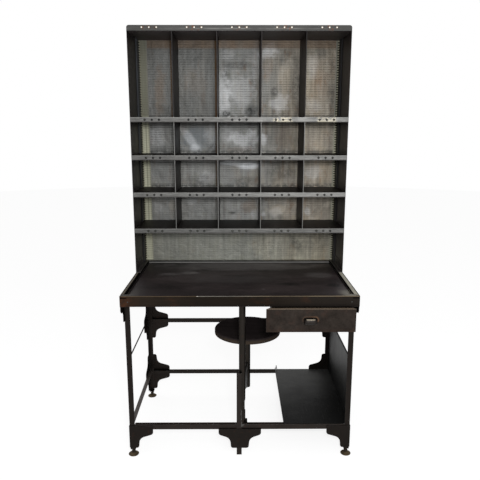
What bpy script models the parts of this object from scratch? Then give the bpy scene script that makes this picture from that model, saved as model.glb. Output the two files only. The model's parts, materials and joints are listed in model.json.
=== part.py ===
"""Postal sorting desk: a steel tray desk on an angle-iron frame with a pigeonhole hutch,
one drawer and a round stool that swings out from under the desk.

Metres, +Z up. The origin is on the floor, under the middle of the overall width and depth,
drawer pull and feet included. X runs to the right of someone sitting at the desk, Y away
from them.
"""
import math

import bmesh
import bpy
from mathutils import Matrix, Vector

# Fits shared by all pieces
SEAT_GAP = 0.0003            # between two pieces that touch
OVERLAP = 0.0006             # how far two shapes of one piece run into each other before they are fused
ROUND_STEPS = 24             # facets of a pipe
HOLE_STEPS = 8               # facets of a small hole

# Desk tray
DESK_WIDTH = 1.160
DESK_DEPTH = 0.742
DESK_HEIGHT = 0.901          # floor to the rim
APRON_HEIGHT = 0.0535
TRAY_PLATE = 0.003
RIM_WIDTH = 0.032
REAR_RIM_WIDTH = 0.050
TRAY_RECESS = 0.008          # rim to the writing surface

# Rails that carry the tray
TOP_RAIL_SIZE = 0.027
TOP_RAIL_PLATE = 0.003
TOP_RAIL_INSET = 0.0005      # desk side to rail
TOP_RAIL_FRONT = 0.004       # desk front to rail end

# Leg frame, rolled angle
FRAME_INSET = 0.004          # desk side to the legs' outer faces
FRONT_LEG_SETBACK = 0.078    # desk front to the front legs
REAR_LEG_INSET = 0.004       # desk rear to the rear legs' outer faces
LEG_SIZE = 0.027
LEG_PLATE = 0.004
LEG_BOTTOM = 0.034
RAIL_HEIGHT = 0.027
RAIL_FLANGE = 0.022
RAIL_PLATE = 0.003
LOWER_RAIL_TOP = 0.176
UPPER_RAIL_TOP = 0.523
TIE_HEIGHT = 0.008
TIE_TOP = 0.525

# Middle leg, a short angle from the floor up past the lower rail
MIDDLE_LEG_LEFT = -0.0164
MIDDLE_LEG_SIZE = 0.0265
MIDDLE_LEG_TOP = 0.465
MIDDLE_LEG_BOTTOM = 0.004

# Ogee gusset plates
GUSSET_PLATE = 0.003
GUSSET_REACH = 0.122         # corner edge to the tip
REAR_GUSSET_REACH = 0.128
MIDDLE_GUSSET_REACH = 0.111  # middle of the desk to either tip
GUSSET_HALF_HEIGHT = 0.1175  # rail middle to the top or bottom edge
GUSSET_TIP = 0.040           # half of the tip's height
GUSSET_SHANK = 0.046         # width left along the leg
GUSSET_WAIST = 0.051         # leg's edge to the hollow's corner
GUSSET_WAIST_DROP = 0.062    # rail middle to the hollow's corner
GUSSET_WAIST_RADIUS = 0.036
GUSSET_TIP_RADIUS = 0.016
GUSSET_END_RADIUS = 0.012
GUSSET_TOP_LIP = 0.0065      # how far a one-sided plate rises above its rail's middle
MIDDLE_GUSSET_TOP_LIP = -0.010

# Gussets under the tray's overhang
OVERHANG_GUSSET_FRONT = 0.012
OVERHANG_GUSSET_BACK = 0.112
OVERHANG_GUSSET_HEIGHT = 0.074
OVERHANG_GUSSET_LIP = 0.010
OVERHANG_GUSSET_WAIST_DROP = 0.008
OVERHANG_GUSSET_SHANK = 0.020

# Levelling feet
FOOT_RADIUS = 0.027
FOOT_RIM = 0.003
FOOT_CONE_TOP = 0.0130
FOOT_NUT_RADIUS = 0.0085
FOOT_STEPS = 20

# Lower shelf and side panel
SHELF_PLATE = 0.002
LOWER_SHELF_WIDTH = 0.3427
LOWER_SHELF_LIP = 0.010
PANEL_PLATE = 0.0015
PANEL_TOP = 0.5205

# Hutch
HUTCH_DEPTH = 0.305
HUTCH_TOP = 2.186            # floor to the top panel's upper face
HUTCH_SHEET = 0.0015
SIDE_FOOT_FLANGE = 0.025
SIDE_REAR_FLANGE = 0.020
BACK_FOOT_FLANGE = 0.015
TOP_FLANGE_HEIGHT = 0.026    # above the top panel
TOP_FLANGE_CORNER = 0.012
SHELF_FLANGE_HEIGHT = 0.0255
FIRST_SHELF_TOP = 1.751
SHELF_PITCH = 0.200
SHELF_COUNT = 4
COLUMN_COUNT = 5
SLOT_CLEARANCE = 0.0005
LABEL_HOLE_RADIUS = 0.0034
LABEL_HOLE_SPACING = 0.038
LABEL_HOLES_PER_COLUMN = 3
TOP_HOLE_DROP = 0.011        # top edge of the flange to the hole's middle

# Drawer
DRAWER_WIDTH = 0.433
DRAWER_INSET = 0.021         # desk side to drawer front
DRAWER_FRONT_HEIGHT = 0.117
DRAWER_FRONT_GAP = 0.002     # tray apron to drawer front
DRAWER_STAND_OFF = 0.030     # tray apron to the drawer front's face
DRAWER_SHEET = 0.002
DRAWER_RETURN = 0.015
BOX_LEFT_INSET = 0.040       # drawer front's left edge to the box
BOX_WIDTH = 0.368
BOX_DEPTH = 0.428
BOX_HEIGHT = 0.0988
BOX_TOP_DROP = 0.0117        # drawer front's top edge to the box's
RUNNER_FLANGE = 0.010
RUNNER_SHEET = 0.002
RUNNER_LEDGE = 0.0095
RUNNER_TOP_FLANGE = 0.020
RUNNER_FRONT = 0.012
RUNNER_SIDE_CLEARANCE = 0.0015
DRAWER_TRAVEL = 0.330        # until the lugs on the box meet the catches in the runners
LUG_HEIGHT = 0.011
CATCH_CLEARANCE = 0.004      # over the sliding flanges

# Cup pull on the drawer front
PULL_HALF_WIDTH = 0.0315
PULL_DEPTH = 0.020
PULL_HEIGHT = 0.026
PULL_SHEET = 0.0018
PULL_OFFSET = 0.0025         # how far the pull sits left of the drawer's middle
PULL_BOTTOM_RISE = 0.044     # drawer front's bottom edge to the pull's mouth

# Stool pivot and arm
PIVOT_X = 0.0127
PIVOT_SETBACK = 0.105        # desk front to the pivot axis
PIPE_RADIUS = 0.01685
BORE_RADIUS = 0.01375
SPINDLE_RADIUS = 0.01345
SPINDLE_FLOOR = 0.0153       # base plate to the spindle's foot
SOCKET_PLATE = 0.004
SOCKET_PLATE_LEFT = 0.0248
SOCKET_PLATE_RIGHT = 0.0270
SOCKET_PLATE_FRONT = 0.0230
SOCKET_PLATE_REAR = 0.0280
SOCKET_HEIGHT = 0.065
THRUST_RING_RADIUS = 0.0160
THRUST_RING_HEIGHT = 0.008
SLEEVE_BOTTOM = 0.310
CAP_LENGTH = 0.110
CAP_FLANGE_RADIUS = 0.035
CAP_FLANGE_PLATE = 0.004
CAP_ROOF = 0.010
ARM_RADIUS = 0.308           # pivot axis to seat axis
ARM_REST_ANGLE = 83.9        # degrees from +X, seat tucked under the desk
WEB_PLATE = 0.008
WEB_SLEEVE_TOP = 0.420
WEB_COLUMN_TOP = 0.385
WEB_HOLLOW = 0.030           # how far the web's upper and lower edges draw in
WEB_HOLLOW_RADIUS = 0.200
COLUMN_BOTTOM = 0.224
COLUMN_TOP = 0.545
COLUMN_BORE_DEPTH = 0.135

# Stool seat
SEAT_HEIGHT = 0.585
SEAT_RADIUS = 0.1855
SEAT_SKIRT = 0.028
SEAT_SHEET = 0.003
SEAT_EDGE_RADIUS = 0.005
SEAT_STEPS = 40
STEM_SHOULDER_RADIUS = 0.021
STEM_SHOULDER_HEIGHT = 0.008
STEM_FLANGE_RADIUS = 0.045
STEM_FLANGE_PLATE = 0.004

# Places worked out from the sizes above
FRONT_PROJECTION = DRAWER_STAND_OFF + SEAT_GAP + PULL_DEPTH
REAR_PROJECTION = FOOT_RADIUS - LEG_SIZE / 2 - REAR_LEG_INSET
DESK_FRONT = (FRONT_PROJECTION - DESK_DEPTH - REAR_PROJECTION) / 2
DESK_REAR = DESK_FRONT + DESK_DEPTH
HALF_WIDTH = DESK_WIDTH / 2
APRON_BOTTOM = DESK_HEIGHT - APRON_HEIGHT
TRAY_UNDERSIDE = DESK_HEIGHT - TRAY_RECESS - TRAY_PLATE
FRAME_HALF = HALF_WIDTH - FRAME_INSET
FRAME_FRONT = DESK_FRONT + FRONT_LEG_SETBACK
FRAME_REAR = DESK_REAR - REAR_LEG_INSET
TOP_RAIL_TOP = APRON_BOTTOM - SEAT_GAP
TOP_RAIL_BOTTOM = TOP_RAIL_TOP - TOP_RAIL_SIZE
BETWEEN_LEGS = FRAME_HALF - LEG_SIZE - SEAT_GAP
RAIL_MIDDLE = RAIL_HEIGHT / 2
HUTCH_FRONT = DESK_REAR - HUTCH_DEPTH
HUTCH_BOTTOM = DESK_HEIGHT + SEAT_GAP
HUTCH_INSIDE = HALF_WIDTH - HUTCH_SHEET - SEAT_GAP
TOP_PANEL_UNDERSIDE = HUTCH_TOP - HUTCH_SHEET
BACK_SHEET_REAR = DESK_REAR - HUTCH_SHEET - SEAT_GAP
BACK_SHEET_FRONT = BACK_SHEET_REAR - HUTCH_SHEET
SHELF_FRONT = HUTCH_FRONT + SEAT_GAP
SHELF_REAR = BACK_SHEET_FRONT - SEAT_GAP
PARTITION_FRONT = SHELF_FRONT + HUTCH_SHEET + SEAT_GAP
SLOT_MEETING = (PARTITION_FRONT + SHELF_REAR) / 2
COLUMN_PITCH = DESK_WIDTH / COLUMN_COUNT
PIVOT_Y = DESK_FRONT + PIVOT_SETBACK
SEAT_X = PIVOT_X + ARM_RADIUS * math.cos(math.radians(ARM_REST_ANGLE))
SEAT_Y = PIVOT_Y + ARM_RADIUS * math.sin(math.radians(ARM_REST_ANGLE))
DRAWER_LEFT = HALF_WIDTH - DRAWER_INSET - DRAWER_WIDTH


def clear_scene():
    for obj in list(bpy.data.objects):
        bpy.data.objects.remove(obj, do_unlink=True)


def finish(name, colour, roughness, metallic=1.0):
    """A plain metal or paint finish."""
    material = bpy.data.materials.new(name)
    material.use_nodes = True
    shader = material.node_tree.nodes["Principled BSDF"]
    shader.inputs["Base Color"].default_value = (*colour, 1.0)
    shader.inputs["Roughness"].default_value = roughness
    shader.inputs["Metallic"].default_value = metallic
    return material


def add_piece(name, bm, material, smooth=False):
    """Turn a bmesh into a named object with faces pointing out."""
    bmesh.ops.recalc_face_normals(bm, faces=bm.faces[:])
    mesh = bpy.data.meshes.new(name)
    bm.to_mesh(mesh)
    bm.free()
    mesh.materials.append(material)
    if smooth:
        mesh.shade_smooth()
        mesh.set_sharp_from_angle(angle=math.radians(32))
    obj = bpy.data.objects.new(name, mesh)
    bpy.context.collection.objects.link(obj)
    return obj


def combine(piece, operand_bm, operation):
    """Fuse to, or cut from, a piece the shape held in a bmesh."""
    operand = add_piece(piece.name + "_" + operation.lower(), operand_bm, piece.data.materials[0])
    operand.hide_render = True
    operand.display_type = "WIRE"
    modifier = piece.modifiers.new(operation.title(), "BOOLEAN")
    modifier.operation = operation
    modifier.object = operand


def fuse(piece, operand_bm):
    combine(piece, operand_bm, "UNION")


def cut(piece, operand_bm):
    combine(piece, operand_bm, "DIFFERENCE")


def prism(outline, axis, low, high):
    """Extrude an outline along an axis. Its points are (y, z), (x, z) or (x, y) pairs for
    the axes x, y and z."""
    bm = bmesh.new()
    place = {
        "x": lambda a, b: (low, a, b),
        "y": lambda a, b: (a, low, b),
        "z": lambda a, b: (a, b, low),
    }[axis]
    step = {"x": (high - low, 0, 0), "y": (0, high - low, 0), "z": (0, 0, high - low)}[axis]
    face = bm.faces.new([bm.verts.new(place(a, b)) for a, b in outline])
    grown = bmesh.ops.extrude_face_region(bm, geom=[face])
    moved = [item for item in grown["geom"] if isinstance(item, bmesh.types.BMVert)]
    bmesh.ops.translate(bm, vec=step, verts=moved)
    return bm


def block(low, high):
    """A rectangular block between two corners."""
    bm = bmesh.new()
    size = [b - a for a, b in zip(low, high)]
    middle = [(a + b) / 2 for a, b in zip(low, high)]
    bmesh.ops.create_cube(bm, size=1.0, matrix=Matrix.Translation(middle) @ Matrix.Diagonal((*size, 1.0)))
    return bm


def turned(profile, centre, steps=ROUND_STEPS, closed=False):
    """Spin a profile of (radius, height) points about a vertical axis. A closed profile
    makes a tube, an open one starts and ends on the axis."""
    bm = bmesh.new()
    verts = [bm.verts.new((centre[0] + r, centre[1], z)) for r, z in profile]
    edges = [bm.edges.new(pair) for pair in zip(verts, verts[1:])]
    if closed:
        edges.append(bm.edges.new((verts[-1], verts[0])))
    bmesh.ops.spin(bm, geom=verts + edges, cent=(*centre, 0), axis=(0, 0, 1), dvec=(0, 0, 0),
                   angle=2 * math.pi, steps=steps, use_merge=True, use_duplicate=False)
    bmesh.ops.remove_doubles(bm, verts=bm.verts[:], dist=1e-6)
    return bm


def rounded_outline(corners, steps=5):
    """An outline through (a, b, radius) corners, with an arc at each that has a radius."""
    points = []
    for index, (a, b, radius) in enumerate(corners):
        here = Vector((a, b))
        if radius <= 0:
            points.append((a, b))
            continue
        before = Vector(corners[index - 1][:2]) - here
        after = Vector(corners[(index + 1) % len(corners)][:2]) - here
        half = before.angle(after) / 2
        reach = min(radius / math.tan(half), 0.48 * before.length, 0.48 * after.length)
        fillet = reach * math.tan(half)
        centre = here + (before.normalized() + after.normalized()).normalized() * (fillet / math.sin(half))
        start = here + before.normalized() * reach - centre
        end = here + after.normalized() * reach - centre
        turn = start.angle_signed(end)
        for step in range(steps + 1):
            swung = Matrix.Rotation(-turn * step / steps, 2) @ start
            points.append(tuple(centre + swung))
    return points


def angle_outline(corner, toward, sizes, plates):
    """Section of rolled angle: its outer corner, the way each flange points, the flanges'
    widths and their thicknesses."""
    (a, b), (da, db), (wa, wb), (ta, tb) = corner, toward, sizes, plates
    return [(a, b), (a + da * wa, b), (a + da * wa, b + db * tb),
            (a + da * ta, b + db * tb), (a + da * ta, b + db * wb), (a, b + db * wb)]


def build_tray(material):
    """The desk top: a recessed tray with a flat rim and a deep apron, open underneath."""
    inner_rear = DESK_REAR - REAR_RIM_WIDTH

    def ring(inset, rear_inset, z):
        x = HALF_WIDTH - inset
        front = DESK_FRONT + inset
        rear = DESK_REAR - rear_inset
        return [(-x, front, z), (x, front, z), (x, rear, z), (-x, rear, z)]

    wall = TRAY_PLATE
    rings = [
        ring(RIM_WIDTH, DESK_REAR - inner_rear, DESK_HEIGHT - TRAY_RECESS),
        ring(RIM_WIDTH, DESK_REAR - inner_rear, DESK_HEIGHT),
        ring(0, 0, DESK_HEIGHT),
        ring(0, 0, APRON_BOTTOM),
        ring(wall, wall, APRON_BOTTOM),
        ring(wall, wall, DESK_HEIGHT - wall),
        ring(RIM_WIDTH - wall, REAR_RIM_WIDTH - wall, DESK_HEIGHT - wall),
        ring(RIM_WIDTH - wall, REAR_RIM_WIDTH - wall, TRAY_UNDERSIDE),
    ]
    bm = bmesh.new()
    loops = [[bm.verts.new(point) for point in points] for points in rings]
    for near, far in zip(loops, loops[1:]):
        for k in range(4):
            bm.faces.new((near[k], near[(k + 1) % 4], far[(k + 1) % 4], far[k]))
    bm.faces.new(loops[0])
    bm.faces.new(loops[-1])
    add_piece("desk_top", bm, material)


def build_top_rails(material):
    """Angles under the tray: one along each side and one between the rear legs."""
    sizes = (TOP_RAIL_SIZE, TOP_RAIL_SIZE)
    plates = (TOP_RAIL_PLATE, TOP_RAIL_PLATE)
    for side, sign in (("left", -1), ("right", 1)):
        corner = (sign * (HALF_WIDTH - TOP_RAIL_INSET), TOP_RAIL_TOP)
        rail = prism(angle_outline(corner, (-sign, -1), sizes, plates), "y",
                     DESK_FRONT + TOP_RAIL_FRONT, FRAME_REAR)
        add_piece("top_rail_" + side, rail, material)
    outline = angle_outline((FRAME_REAR, TOP_RAIL_TOP), (-1, -1), sizes, plates)
    add_piece("top_rail_rear", prism(outline, "x", -BETWEEN_LEGS, BETWEEN_LEGS), material)


def build_legs(material):
    """Four corner legs of angle, each closed below by a plate that takes the levelling foot."""
    top = TOP_RAIL_TOP - TOP_RAIL_PLATE - SEAT_GAP
    for side, sx in (("left", -1), ("right", 1)):
        for end, y, sy in (("front", FRAME_FRONT, 1), ("rear", FRAME_REAR, -1)):
            corner = (sx * FRAME_HALF, y)
            outline = angle_outline(corner, (-sx, sy), (LEG_SIZE, LEG_SIZE), (LEG_PLATE, LEG_PLATE))
            leg = add_piece("leg_%s_%s" % (end, side), prism(outline, "z", LEG_BOTTOM, top), material)
            inner = (corner[0] - sx * LEG_SIZE, y + sy * LEG_SIZE)
            low = (min(corner[0], inner[0]), min(y, inner[1]), LEG_BOTTOM)
            high = (max(corner[0], inner[0]), max(y, inner[1]), LEG_BOTTOM + LEG_PLATE)
            fuse(leg, block(low, high))


def build_middle_leg(material):
    """Short angle in front of the lower rail. Its side flange is coped away at the rail."""
    face = FRAME_FRONT - SEAT_GAP
    right = MIDDLE_LEG_LEFT + MIDDLE_LEG_SIZE
    bm = prism([(MIDDLE_LEG_LEFT, face - LEG_PLATE), (right, face - LEG_PLATE),
                (right, face), (MIDDLE_LEG_LEFT, face)], "z", MIDDLE_LEG_BOTTOM, MIDDLE_LEG_TOP)
    leg = add_piece("leg_middle", bm, material)
    rear = face - LEG_PLATE + MIDDLE_LEG_SIZE
    fuse(leg, block((MIDDLE_LEG_LEFT, face - OVERLAP, LOWER_RAIL_TOP + SEAT_GAP),
                    (MIDDLE_LEG_LEFT + LEG_PLATE, rear, MIDDLE_LEG_TOP)))


def build_rails(material):
    """Angles between the legs, upright flange outside and level flange on top, and the
    slim tie along each side."""
    sizes = (RAIL_FLANGE, RAIL_HEIGHT)
    plates = (RAIL_PLATE, RAIL_PLATE)
    front = angle_outline((FRAME_FRONT, LOWER_RAIL_TOP), (1, -1), sizes, plates)
    add_piece("lower_rail_front", prism(front, "x", -BETWEEN_LEGS, BETWEEN_LEGS), material)
    for name, top in (("lower_rail_rear", LOWER_RAIL_TOP), ("upper_rail_rear", UPPER_RAIL_TOP)):
        rear = angle_outline((FRAME_REAR, top), (-1, -1), sizes, plates)
        add_piece(name, prism(rear, "x", -BETWEEN_LEGS, BETWEEN_LEGS), material)
    start = FRAME_FRONT + LEG_SIZE + SEAT_GAP
    stop = FRAME_REAR - LEG_SIZE - SEAT_GAP
    for side, sign in (("left", -1), ("right", 1)):
        outline = angle_outline((sign * FRAME_HALF, LOWER_RAIL_TOP), (-sign, -1), sizes, plates)
        add_piece("lower_rail_" + side, prism(outline, "y", start, stop), material)
        tie = sorted((sign * FRAME_HALF, sign * (FRAME_HALF - LEG_PLATE)))
        add_piece("side_tie_" + side,
                  block((tie[0], start, TIE_TOP - TIE_HEIGHT), (tie[1], stop, TIE_TOP)), material)


def ogee(edge, toward, reach, middle, side):
    """Corners of one ogee edge, from the tip of a gusset to its end along the leg. Side is
    1 above the rail and -1 below it."""
    shank = edge + toward * GUSSET_SHANK
    return [(edge + toward * reach, middle + side * GUSSET_TIP, GUSSET_TIP_RADIUS),
            (edge + toward * GUSSET_WAIST, middle + side * GUSSET_WAIST_DROP, GUSSET_WAIST_RADIUS),
            (shank, middle + side * GUSSET_HALF_HEIGHT, GUSSET_END_RADIUS),
            (edge, middle + side * GUSSET_HALF_HEIGHT, 0)]


def double_gusset(edge, toward, reach, middle):
    """Outline of a gusset that spreads both up and down from the middle of a rail."""
    upper = ogee(edge, toward, reach, middle, 1)
    return rounded_outline(upper[::-1] + ogee(edge, toward, reach, middle, -1))


def single_gusset(edge, toward, reach, middle):
    """Outline of a gusset that spreads down only, with a straight top edge on the rail."""
    top = middle + GUSSET_TOP_LIP
    return rounded_outline([(edge, top, 0), (edge + toward * reach, top, 0)]
                           + ogee(edge, toward, reach, middle, -1))


def build_gussets(material):
    """Ogee plates on the outer faces of the frame, where the rails meet the legs."""
    lower_middle = LOWER_RAIL_TOP - RAIL_MIDDLE
    upper_middle = UPPER_RAIL_TOP - RAIL_MIDDLE
    front_face = FRAME_FRONT - SEAT_GAP
    rear_face = FRAME_REAR + SEAT_GAP
    side_face = FRAME_HALF + SEAT_GAP
    for side, sign in (("left", -1), ("right", 1)):
        outline = single_gusset(sign * FRAME_HALF, -sign, GUSSET_REACH, lower_middle)
        add_piece("gusset_front_" + side,
                  prism(outline, "y", front_face - GUSSET_PLATE, front_face), material)
        flat = sorted((sign * side_face, sign * (side_face + GUSSET_PLATE)))
        outline = single_gusset(FRAME_FRONT, 1, GUSSET_REACH, lower_middle)
        add_piece("gusset_side_front_" + side, prism(outline, "x", *flat), material)
        for level, middle in (("lower", lower_middle), ("upper", upper_middle)):
            outline = double_gusset(sign * FRAME_HALF, -sign, REAR_GUSSET_REACH, middle)
            add_piece("gusset_rear_%s_%s" % (level, side),
                      prism(outline, "y", rear_face, rear_face + GUSSET_PLATE), material)
            outline = double_gusset(FRAME_REAR, -1, GUSSET_REACH, middle)
            add_piece("gusset_side_rear_%s_%s" % (level, side), prism(outline, "x", *flat), material)
    half = [(MIDDLE_GUSSET_REACH, lower_middle + MIDDLE_GUSSET_TOP_LIP, 0)]
    half += ogee(0, 1, MIDDLE_GUSSET_REACH, lower_middle, -1)[:-1]
    outline = rounded_outline(half + [(-a, b, radius) for a, b, radius in reversed(half)])
    face = front_face - LEG_PLATE - SEAT_GAP
    add_piece("gusset_front_middle", prism(outline, "y", face - GUSSET_PLATE, face), material)


def build_overhang_gussets(material):
    """Ogee plates beside the front legs, under the side rails, that carry the overhang."""
    top = TOP_RAIL_BOTTOM - SEAT_GAP
    bottom = top - OVERHANG_GUSSET_HEIGHT
    lip = top - OVERHANG_GUSSET_LIP
    front = DESK_FRONT + OVERHANG_GUSSET_FRONT
    back = FRAME_FRONT + OVERHANG_GUSSET_BACK
    shank_front = FRAME_FRONT - OVERHANG_GUSSET_SHANK
    shank_back = FRAME_FRONT + LEG_SIZE + OVERHANG_GUSSET_SHANK
    waist = lip - OVERHANG_GUSSET_WAIST_DROP
    tip_radius = 0.6 * OVERHANG_GUSSET_LIP
    corners = [(front, top, 0), (front, lip, tip_radius),
               (shank_front, waist, GUSSET_WAIST_RADIUS), (shank_front, bottom, GUSSET_END_RADIUS),
               (shank_back, bottom, GUSSET_END_RADIUS), (shank_back, waist, GUSSET_WAIST_RADIUS),
               (back, lip, tip_radius), (back, top, 0)]
    face = FRAME_HALF + SEAT_GAP
    for side, sign in (("left", -1), ("right", 1)):
        flat = sorted((sign * face, sign * (face + GUSSET_PLATE)))
        add_piece("gusset_side_top_" + side, prism(rounded_outline(corners), "x", *flat), material)


def build_feet(material):
    """Levelling feet: a dished disc with a nut under each leg's closing plate."""
    top = LEG_BOTTOM - SEAT_GAP
    profile = [(0, 0), (FOOT_RADIUS, 0), (FOOT_RADIUS, FOOT_RIM),
               (0.85 * FOOT_RADIUS, 2.1 * FOOT_RIM), (1.4 * FOOT_NUT_RADIUS, FOOT_CONE_TOP),
               (FOOT_NUT_RADIUS, FOOT_CONE_TOP + 0.002), (FOOT_NUT_RADIUS, top), (0, top)]
    middle = LEG_SIZE / 2
    for side, sign in (("left", -1), ("right", 1)):
        for end, y in (("front", FRAME_FRONT + middle), ("rear", FRAME_REAR - middle)):
            foot = turned(profile, (sign * (FRAME_HALF - middle), y), FOOT_STEPS)
            add_piece("foot_%s_%s" % (end, side), foot, material, smooth=True)


def build_lower_shelf(material):
    """Plate across the right bay with its free edge turned up."""
    low = LOWER_RAIL_TOP + SEAT_GAP
    high = low + SHELF_PLATE
    right = FRAME_HALF - LEG_PLATE - SEAT_GAP
    left = right - LOWER_SHELF_WIDTH
    outline = [(left, low), (right, low), (right, high), (left + SHELF_PLATE, high),
               (left + SHELF_PLATE, high + LOWER_SHELF_LIP), (left, high + LOWER_SHELF_LIP)]
    front = FRAME_FRONT + LEG_PLATE + SEAT_GAP
    rear = FRAME_REAR - LEG_PLATE - SEAT_GAP
    add_piece("lower_shelf", prism(outline, "y", front, rear), material)


def build_side_panel(material):
    """Sheet that closes the right bay between the legs."""
    right = FRAME_HALF - LEG_PLATE - SEAT_GAP
    front = FRAME_FRONT + LEG_PLATE + SEAT_GAP
    rear = FRAME_REAR - LEG_PLATE - SEAT_GAP
    bottom = LOWER_RAIL_TOP + SHELF_PLATE + 2 * SEAT_GAP
    panel = block((right - PANEL_PLATE, front, bottom), (right, rear, PANEL_TOP))
    add_piece("side_panel_right", panel, material)


def column_line(index):
    """X of the line between two columns of pigeonholes."""
    return -HALF_WIDTH + COLUMN_PITCH * index


def label_holes(z, front):
    """Cutter for the groups of small holes in a front flange."""
    bm = bmesh.new()
    spread = (LABEL_HOLES_PER_COLUMN - 1) / 2
    for column in range(COLUMN_COUNT):
        middle = column_line(column) + COLUMN_PITCH / 2
        for hole in range(LABEL_HOLES_PER_COLUMN):
            x = middle + (hole - spread) * LABEL_HOLE_SPACING
            place = Matrix.Translation((x, front, z)) @ Matrix.Rotation(math.pi / 2, 4, "X")
            bmesh.ops.create_cone(bm, cap_ends=True, segments=HOLE_STEPS, radius1=LABEL_HOLE_RADIUS,
                                  radius2=LABEL_HOLE_RADIUS, depth=6 * HUTCH_SHEET, matrix=place)
    return bm


def build_hutch_sides(material):
    """Side sheets with a flange on the desk rim and one behind the back sheet."""
    for side, sign in (("left", -1), ("right", 1)):
        outer = sign * HALF_WIDTH
        outline = angle_outline((outer, HUTCH_BOTTOM), (-sign, 1),
                                (SIDE_FOOT_FLANGE, TOP_PANEL_UNDERSIDE - SEAT_GAP - HUTCH_BOTTOM),
                                (HUTCH_SHEET, HUTCH_SHEET))
        sheet = prism(outline, "y", HUTCH_FRONT, BACK_SHEET_FRONT - SEAT_GAP)
        piece = add_piece("hutch_side_" + side, sheet, material)
        wall = sorted((outer, outer - sign * HUTCH_SHEET))
        top = TOP_PANEL_UNDERSIDE - SEAT_GAP
        outline = angle_outline((outer, DESK_REAR), (-sign, -1),
                                (SIDE_REAR_FLANGE, DESK_REAR - BACK_SHEET_FRONT + SEAT_GAP + OVERLAP),
                                (wall[1] - wall[0], HUTCH_SHEET))
        fuse(piece, prism(outline, "z", HUTCH_BOTTOM, top))


def build_hutch_top(material):
    """Top sheet whose front flange stands up, with rounded ends and label holes."""
    outline = angle_outline((HUTCH_FRONT, TOP_PANEL_UNDERSIDE), (1, 1),
                            (HUTCH_DEPTH, HUTCH_SHEET + TOP_FLANGE_HEIGHT), (HUTCH_SHEET, HUTCH_SHEET))
    bm = prism(outline, "x", -HALF_WIDTH, HALF_WIDTH)
    crown = TOP_PANEL_UNDERSIDE + HUTCH_SHEET + TOP_FLANGE_HEIGHT
    ends = [edge for edge in bm.edges
            if all(abs(v.co.z - crown) < 1e-6 for v in edge.verts)
            and abs(edge.verts[0].co.x - edge.verts[1].co.x) < 1e-6]
    bmesh.ops.bevel(bm, geom=ends, offset=TOP_FLANGE_CORNER, segments=4, profile=0.5, affect="EDGES")
    piece = add_piece("hutch_top", bm, material)
    cut(piece, label_holes(crown - TOP_HOLE_DROP, HUTCH_FRONT))


def build_hutch_back(material):
    """Back sheet that stands on the rear rim with a folded foot."""
    outline = angle_outline((BACK_SHEET_REAR, HUTCH_BOTTOM), (-1, 1),
                            (BACK_FOOT_FLANGE, TOP_PANEL_UNDERSIDE - SEAT_GAP - HUTCH_BOTTOM),
                            (HUTCH_SHEET, HUTCH_SHEET))
    bm = prism(outline, "x", -HUTCH_INSIDE, HUTCH_INSIDE)
    piece = add_piece("hutch_back", bm, material)
    inner = HALF_WIDTH - SIDE_FOOT_FLANGE - SEAT_GAP
    for sign in (-1, 1):
        span = sorted((sign * inner, sign * HALF_WIDTH))
        cut(piece, block((span[0], BACK_SHEET_REAR - 2 * BACK_FOOT_FLANGE, HUTCH_BOTTOM - HUTCH_SHEET),
                         (span[1], BACK_SHEET_FRONT, HUTCH_BOTTOM + 2 * HUTCH_SHEET)))


def shelf_top(index):
    """Height of a shelf's upper face, counted from the top."""
    return FIRST_SHELF_TOP - SHELF_PITCH * index


def build_shelves(material):
    """Shelves with a drilled front flange. All but the lowest are slotted from the rear
    so that the partitions pass through."""
    for index in range(SHELF_COUNT):
        top = shelf_top(index)
        outline = angle_outline((SHELF_FRONT, top), (1, -1),
                                (SHELF_REAR - SHELF_FRONT, SHELF_FLANGE_HEIGHT), (HUTCH_SHEET, HUTCH_SHEET))
        sheet = prism(outline, "x", -HUTCH_INSIDE, HUTCH_INSIDE)
        piece = add_piece("shelf_%d" % (index + 1), sheet, material)
        cut(piece, label_holes(top - SHELF_FLANGE_HEIGHT / 2, SHELF_FRONT))
        if index == SHELF_COUNT - 1:
            continue
        slots = bmesh.new()
        half = HUTCH_SHEET / 2 + SLOT_CLEARANCE
        for line in range(1, COLUMN_COUNT):
            x = column_line(line)
            low = (x - half, SLOT_MEETING - SEAT_GAP, top - 2 * HUTCH_SHEET)
            high = (x + half, SHELF_REAR + HUTCH_SHEET, top + HUTCH_SHEET)
            size = [b - a for a, b in zip(low, high)]
            middle = [(a + b) / 2 for a, b in zip(low, high)]
            bmesh.ops.create_cube(slots, size=1.0,
                                  matrix=Matrix.Translation(middle) @ Matrix.Diagonal((*size, 1.0)))
        cut(piece, slots)


def build_partitions(material):
    """Upright sheets between the columns, from the lowest shelf to the top, slotted from
    the front around each shelf that they cross."""
    bottom = shelf_top(SHELF_COUNT - 1) + SEAT_GAP
    top = TOP_PANEL_UNDERSIDE - SEAT_GAP
    outline = [(SHELF_REAR, bottom), (SHELF_REAR, top), (PARTITION_FRONT, top)]
    for index in range(SHELF_COUNT - 1):
        upper = shelf_top(index) + SLOT_CLEARANCE
        lower = shelf_top(index) - HUTCH_SHEET - SLOT_CLEARANCE
        outline += [(PARTITION_FRONT, upper), (SLOT_MEETING, upper),
                    (SLOT_MEETING, lower), (PARTITION_FRONT, lower)]
    outline.append((PARTITION_FRONT, bottom))
    for line in range(1, COLUMN_COUNT):
        x = column_line(line)
        half = HUTCH_SHEET / 2
        add_piece("partition_%d" % line, prism(outline, "x", x - half, x + half), material)


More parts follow.
